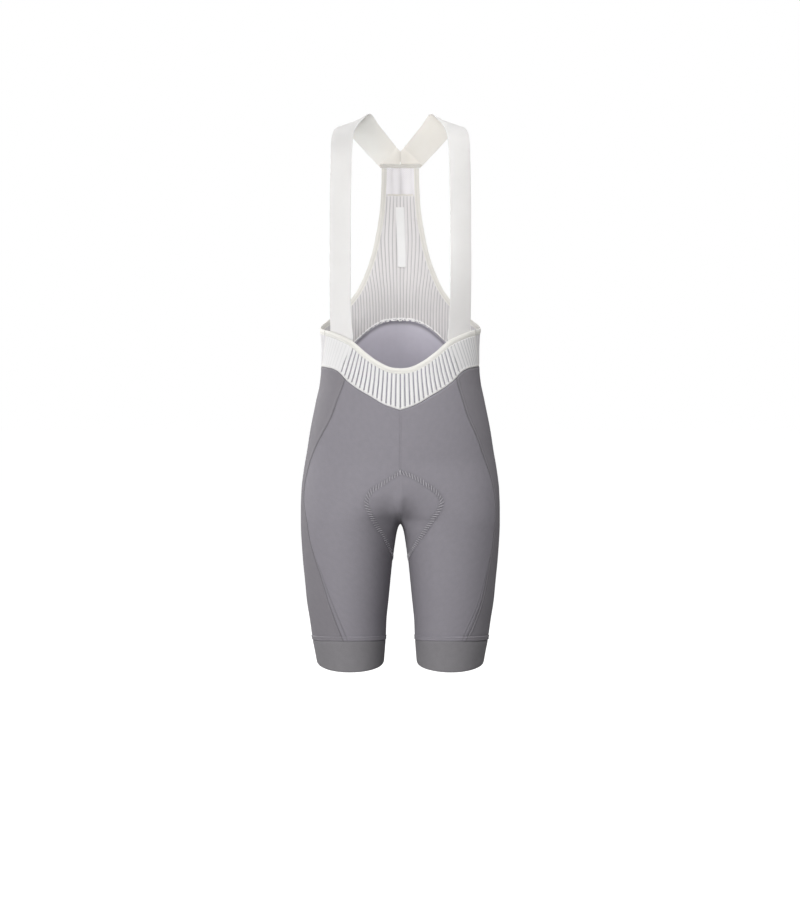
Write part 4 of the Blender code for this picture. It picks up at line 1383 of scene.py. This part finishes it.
def buildAllowance():
    # the mesh's turned hem inside the back, puckered and standing off where it eases over the spine
    turn = np.linspace(allowance["from"], 360 - allowance["from"], allowance["columns"])
    folded = np.where(turn > 180, 360 - turn, turn)
    share = np.linspace(0, 1, allowance["rows"])[:, None]
    spine = bell(turn - 181, 17) ** 0.7
    swing = np.sin(turn * 1.3) + 0.7 * np.sin(turn * 2.13 + 1) + 0.5 * np.sin(turn * 3.4 + 2)
    drop = allowance["down"] + allowance["wave"] * (0.5 + 0.5 * swing) * spine
    height = hemHeight(folded) + allowance["up"] - (allowance["up"] + drop) * share
    grid = onFigure(folded[None] + 0 * height, height)
    grid[..., 0] *= np.where(turn > 180, -1, 1)
    facing = -outward(grid)
    ripple = 0.6 + 0.4 * np.sin(turn * 1.7 + 0.8 * np.sin(turn * 0.6))
    lift = (0.3 + allowance["stand"] * spine * ripple) * share**1.5
    grid = grid + facing * (allowance["gap"] + lift)[..., None]
    sewnSheet(
        "mesh_hem_allowance", grid, [hemMesh], facing, allowance["wall"], "white_mesh", []
    )


buildLip()
buildLabel()
buildAllowance()
print("lip, label and hem allowance made")

# pitch, stitch length and thread radius of each kind of row
sewing = {
    "flat": (3.0, 2.5, 0.24), "gripper": (2.6, 2.2, 0.24), "pad": (4.8, 11.0, 0.8),
    "binding": (2.8, 2.1, 0.2), "lip": (2.4, 2.2, 0.26), "neck": (1.9, 2.3, 0.42),
    "mesh": (2.8, 2.2, 0.22),
}
for (name, side), rings in zip(sides, cuffRings):
    lines = panelPaths[name]
    rows = [
        (lines["slant"], 1.5 * side, 0.25), (lines["slant"], -1.5 * side, 0.05),
        (lines["second"], 0.0, 0.1), (lines["frontMiddle"], 1.6 * side, 0.15),
        (lines["backMiddle"], -1.6 * side, 0.2),
    ]
    threads(f"flatlock_stitches_{name}", "grey_knit", greyThread, sewing["flat"], rows)
    rows = [(ring, 0.0, 1.0) for ring in rings]
    threads(f"gripper_stitches_{name}", "grey_knit", greyThread, sewing["gripper"], rows)
    rows = [(lines["pad"], 0.0, 0.6)]
    threads(f"pad_zigzag_{name}", "grey_knit", padThread, sewing["pad"], rows, slant=1.25 * side)


def acrossBack(half, height, count):
    # a row of points over the back of the figure; the height may vary along it
    x = np.linspace(-half, half, count)
    return settledBack(np.stack([x, height(x)], axis=-1))


rows = [(grid[place], 0.0, 0.05) for grid in (waistTape, *armTapes) for place in (4, 10)]
threads("binding_stitches", "cream_binding", creamThread, sewing["binding"], rows)
rows = [(acrossBack(31.5, lambda x: up + 0.5 * wander(x), 120), 0.0, 2.0) for up in (-73.4, -76.9)]
threads("lip_stitches", "cream_binding", roseThread, sewing["lip"], rows, inward=True)
rows = [
    (acrossBack(19.5, lambda x: neckSeam + up + swing * np.sin(x / 3.1), 80), 0.0, 1.75)
    for up, swing in ((-0.7, 0.2), (0.9, 0.3))
]
threads("neck_seam_stitches", "cream_binding", creamThread, sewing["neck"], rows, inward=True)
rows = [(waistGrid[:, 0], -1.6, 0.4), (waistGrid[:, -1], 1.6, 0.4), (waistGrid[-1], -2.4, 0.35)]
threads("mesh_stitches", "white_mesh", creamThread, sewing["mesh"], rows)
print("sewing made")

studio = {
    "floor": -1.02, "aim": (0.0, 0.0, -0.42), "distance": 2.3,
    "softboxes": (
        # name, degrees round from the front towards the wearer's left, degrees up, size, watts
        ("key", -34, -10, 1.6, 43.0), ("key_high", -26, 20, 1.2, 8.6), ("front", 2, 26, 1.4, 21.0),
        ("left_rim", -130, 22, 1.6, 51.0), ("right_rim", 80, 46, 1.3, 26.0),
        ("right_front", 62, 40, 1.4, 2.5), ("top", 180, 62, 1.4, 9.5),
    ),
    "ambient": 0.012, "reach": 30.0,
}


def addLight(name, around, up, size, power):
    lamp = bpy.data.lights.new(name, "AREA")
    lamp.shape = "DISK"
    lamp.size = size
    lamp.energy = power
    light = bpy.data.objects.new(name, lamp)
    bpy.context.scene.collection.objects.link(light)
    a, e = math.radians(around), math.radians(up)
    away = Vector((math.sin(a) * math.cos(e), -math.cos(a) * math.cos(e), math.sin(e)))
    light.location = Vector(studio["aim"]) + away * studio["distance"]
    light.rotation_euler = away.to_track_quat("Z", "Y").to_euler()


for softbox in studio["softboxes"]:
    addLight(*softbox)

# the paper is white to the eye and throws little light back up
paperFinish, paperTree = newFinish("white_studio_paper")
paper = paperTree.nodes["Principled BSDF"]
paper.inputs["Base Color"].default_value = linear("#8A8A8A")
paper.inputs["Roughness"].default_value = 0.9
paper.inputs["Emission Color"].default_value = (1.0, 1.0, 1.0, 1.0)
seen = addNode(paperTree, "ShaderNodeLightPath").outputs["Is Camera Ray"]
paperTree.links.new(seen, paper.inputs["Emission Strength"])
reach = studio["reach"]
corners = ((-reach, -reach), (reach, -reach), (reach, reach), (-reach, reach))
floorMesh = bpy.data.meshes.new("studio_floor")
floorMesh.from_pydata([(x, y, studio["floor"]) for x, y in corners], [], [(0, 1, 2, 3)])
floorMesh.materials.append(paperFinish)
floor = bpy.data.objects.new("studio_floor", floorMesh)
bpy.context.scene.collection.objects.link(floor)

world = bpy.data.worlds.new("studio_white")
bpy.context.scene.world = world
world.use_nodes = True
sky = world.node_tree
seen = addNode(sky, "ShaderNodeLightPath").outputs["Is Camera Ray"]
limits = {"Value": seen, "To Min": studio["ambient"], "To Max": 1.0}
strength = addNode(sky, "ShaderNodeMapRange", limits)
background = sky.nodes["Background"]
background.inputs["Color"].default_value = (1.0, 1.0, 1.0, 1.0)
sky.links.new(strength.outputs[0], background.inputs["Strength"])

view = {"distance": 3.2, "height": -0.44, "aimHeight": -0.526, "across": -0.0005, "lens": 82.1}
lens = bpy.data.cameras.new("camera")
lens.lens = view["lens"]
lens.sensor_width = 36.0
lens.clip_end = 100.0
camera = bpy.data.objects.new("camera", lens)
bpy.context.scene.collection.objects.link(camera)
camera.location = (view["across"], -view["distance"], view["height"])
pitch = math.atan2(view["aimHeight"] - view["height"], view["distance"])
camera.rotation_euler = (math.pi / 2 + pitch, 0, 0)
bpy.context.scene.camera = camera
bpy.context.scene.view_settings.view_transform = "Standard"

print("studio ready")
